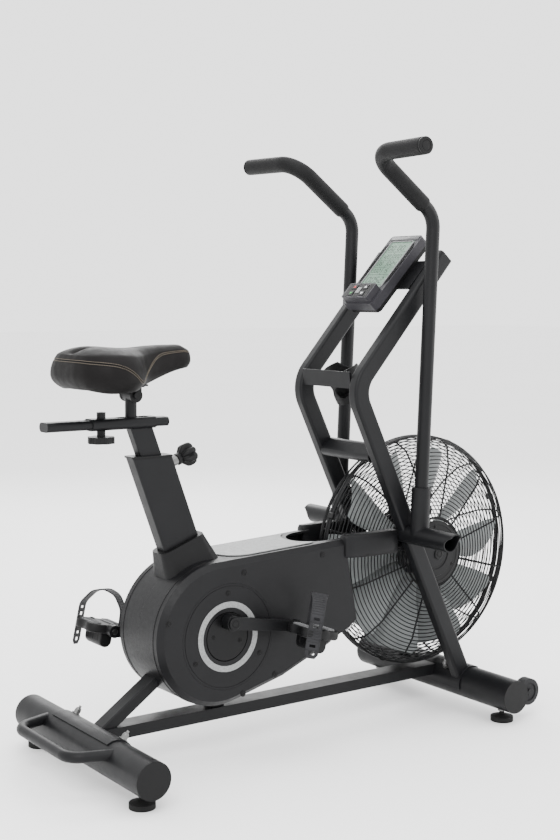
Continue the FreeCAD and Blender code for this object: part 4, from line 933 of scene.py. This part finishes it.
def hub_faces():
    """The stepped cover on each side of the fan's hub."""
    face = Shape().lathe((FAN.x, -75, FAN.z), (0, -1, 0), HUB_PROFILE, 72)
    for k in range(6):
        face.lathe(round_about(FAN, 64, 30 + 60 * k, -77), (0, -1, 0),
                   [(3.6, 0), (3.6, 1.4), (2.8, 2), (1.6, 2), (1.4, 1), (0, 1)], 16)
    face.mirrored().piece("hub_faces", FINISHES["dark_disc"], "frame", "dark_steel")


def fork_sleeves():
    """The rounded covers from the housing's front to the uprights."""
    rows = []
    for x, y, deep, tall in ((126, -83, 11, 24), (128, -83, 13, 26), (150, -85, 13.5, 27.4),
                             (200, -89, 14, 27.8), (255, -89.5, 14, 27.6), (273, -89.5, 13.5, 27),
                             (275, -89.5, 11.5, 25)):
        rows.append([(x, y + u, FORK_LEVEL + v) for u, v in superoval(deep, tall, 0.5, 40)])
    sleeves = Shape().grid(rows).mirrored()
    sleeves.piece("fork_sleeves", FINISHES["frame_paint"], "frame", "black_plastic", sharp=60)


def pull_knob():
    """The pull pin and its lobed knob on the front of the seat tube."""
    axis = Vector((math.cos(SEAT_LEAN), 0, math.sin(SEAT_LEAN)))
    foot = SEAT_FOOT + Vector((math.sin(SEAT_LEAN), 0, -math.cos(SEAT_LEAN))) * 34
    knob, pin = Shape(), Shape()
    knob.lathe(foot, axis, [(11, 70), (15, 71), (19, 75), (24, 80), (26, 86), (26, 94), (24, 101), (19, 105),
                            (12, 106.5), (0, 107)], 80, 7, 0.3)
    knob.lathe(foot, axis, [(12, 60), (13.4, 61), (13.4, 69), (11, 71.5)], 40)
    pin.lathe(foot, axis, [(4, 22), (5, 29), (5, 61)], 24)
    knob.piece("pull_knob", FINISHES["black_plastic"], "pull_pin", "black_plastic", ["pull_pin_knob"],
               sharp=50)
    pin.piece("pull_pin", FINISHES["zinc_steel"], "pull_pin", "zinc_steel")


THREAD = moulded("waxed_thread", (0.13, 0.11, 0.085), 0.6, 0.4, 2600, 0.0)
# painted highlight: a light grey standing in for the reflections on the pedal tops and the lit top of the console
PAINTED_HIGHLIGHT_GREY = stippled("painted_highlight_grey", (0.10, 0.101, 0.104))
INK = display("display_ink", (0.012, 0.014, 0.013))
ARROW_COLOURS = {"red": (0.42, 0.03, 0.03), "green": (0.03, 0.22, 0.05), "white_up": (0.55, 0.55, 0.55),
                 "white_down": (0.55, 0.55, 0.55)}
ARROWS = {name.split("_")[-1]: moulded("arrow_" + name, rgb, 0.4, 0.3) for name, rgb in ARROW_COLOURS.items()}
saddle()
grips()
fan_cage()
fan_blades()
pedal("right", -1)
pedal("left", 1)
console()
housing_screws()
housing_seams()
shaft_caps()
hub_faces()
fork_sleeves()
pull_knob()

# --------------------------------------------------------- floor, light, camera

FLOOR_HALF, FLOOR_SINK = 30, 0.0005      # in metres, like the lamps' sizes and places
AIM = (0, 0, 0.7)                        # what the lamps point at
WORLD_STRENGTH = 2.4
LENS = 59.18                             # in millimetres, on a 36 mm sensor
CAMERA_SPOT = at(-1818.9, -2557.4, 1016.7)
YAW, PITCH, ROLL = (math.radians(degrees) for degrees in (35.44, -3.92, 0.22))


def pale_floor():
    finish = Finish("pale_floor", 0.8)
    finish.tint(finish.noise(0.7, 2), (0.95, 0.95, 0.95), 0.01)
    finish.bumps((finish.noise(30, 2), 0.02, 0.001))
    half = FLOOR_HALF
    mesh = bpy.data.meshes.new("floor")
    mesh.from_pydata([(-half, -half, 0), (half, -half, 0), (half, half, 0), (-half, half, 0)], [],
                     [(0, 1, 2, 3)])
    mesh.materials.append(finish.material)
    floor = bpy.data.objects.new("floor", mesh)
    floor.location = (0, 0, -FLOOR_SINK)
    bpy.context.scene.collection.objects.link(floor)


def area_light(name, location, size, power, stretch=1.0):
    data = bpy.data.lights.new(name, "AREA")
    data.energy, data.shape, data.size, data.size_y = power, "RECTANGLE", size, size * stretch
    light = bpy.data.objects.new(name, data)
    light.location = location
    light.rotation_mode = "QUATERNION"
    light.rotation_quaternion = (Vector(AIM) - Vector(location)).to_track_quat("-Z", "Y")
    bpy.context.scene.collection.objects.link(light)


def studio():
    world = bpy.data.worlds.new("studio")
    world.use_nodes = True
    background = world.node_tree.nodes["Background"]
    background.inputs["Color"].default_value = (1, 1, 1, 1)
    background.inputs["Strength"].default_value = WORLD_STRENGTH
    bpy.context.scene.world = world
    area_light("key", (-2.4, -2.6, 3.2), 2.2, 130)
    area_light("side", (3.2, -1.8, 1.8), 1.6, 60, 2.0)
    area_light("rim", (1.5, 3.2, 2.6), 2.0, 90)
    area_light("top", (0, 0, 3.6), 2.4, 60)


def photo_camera():
    """The calibrated viewpoint, from behind and to the right of the saddle."""
    data = bpy.data.cameras.new("camera")
    data.sensor_fit, data.sensor_width, data.lens = "AUTO", 36, LENS
    data.shift_x, data.shift_y = 0.0021, -0.0387
    data.clip_start, data.clip_end = 0.05, 100
    camera = bpy.data.objects.new("camera", data)
    ahead = Vector((math.sin(YAW) * math.cos(PITCH), math.cos(YAW) * math.cos(PITCH), math.sin(PITCH)))
    turn = ahead.to_track_quat("-Z", "Y").to_matrix() @ Matrix.Rotation(ROLL, 3, "Z")
    camera.rotation_euler = turn.to_euler()
    camera.location = CAMERA_SPOT
    bpy.context.scene.collection.objects.link(camera)
    bpy.context.scene.camera = camera


pale_floor()
studio()
photo_camera()
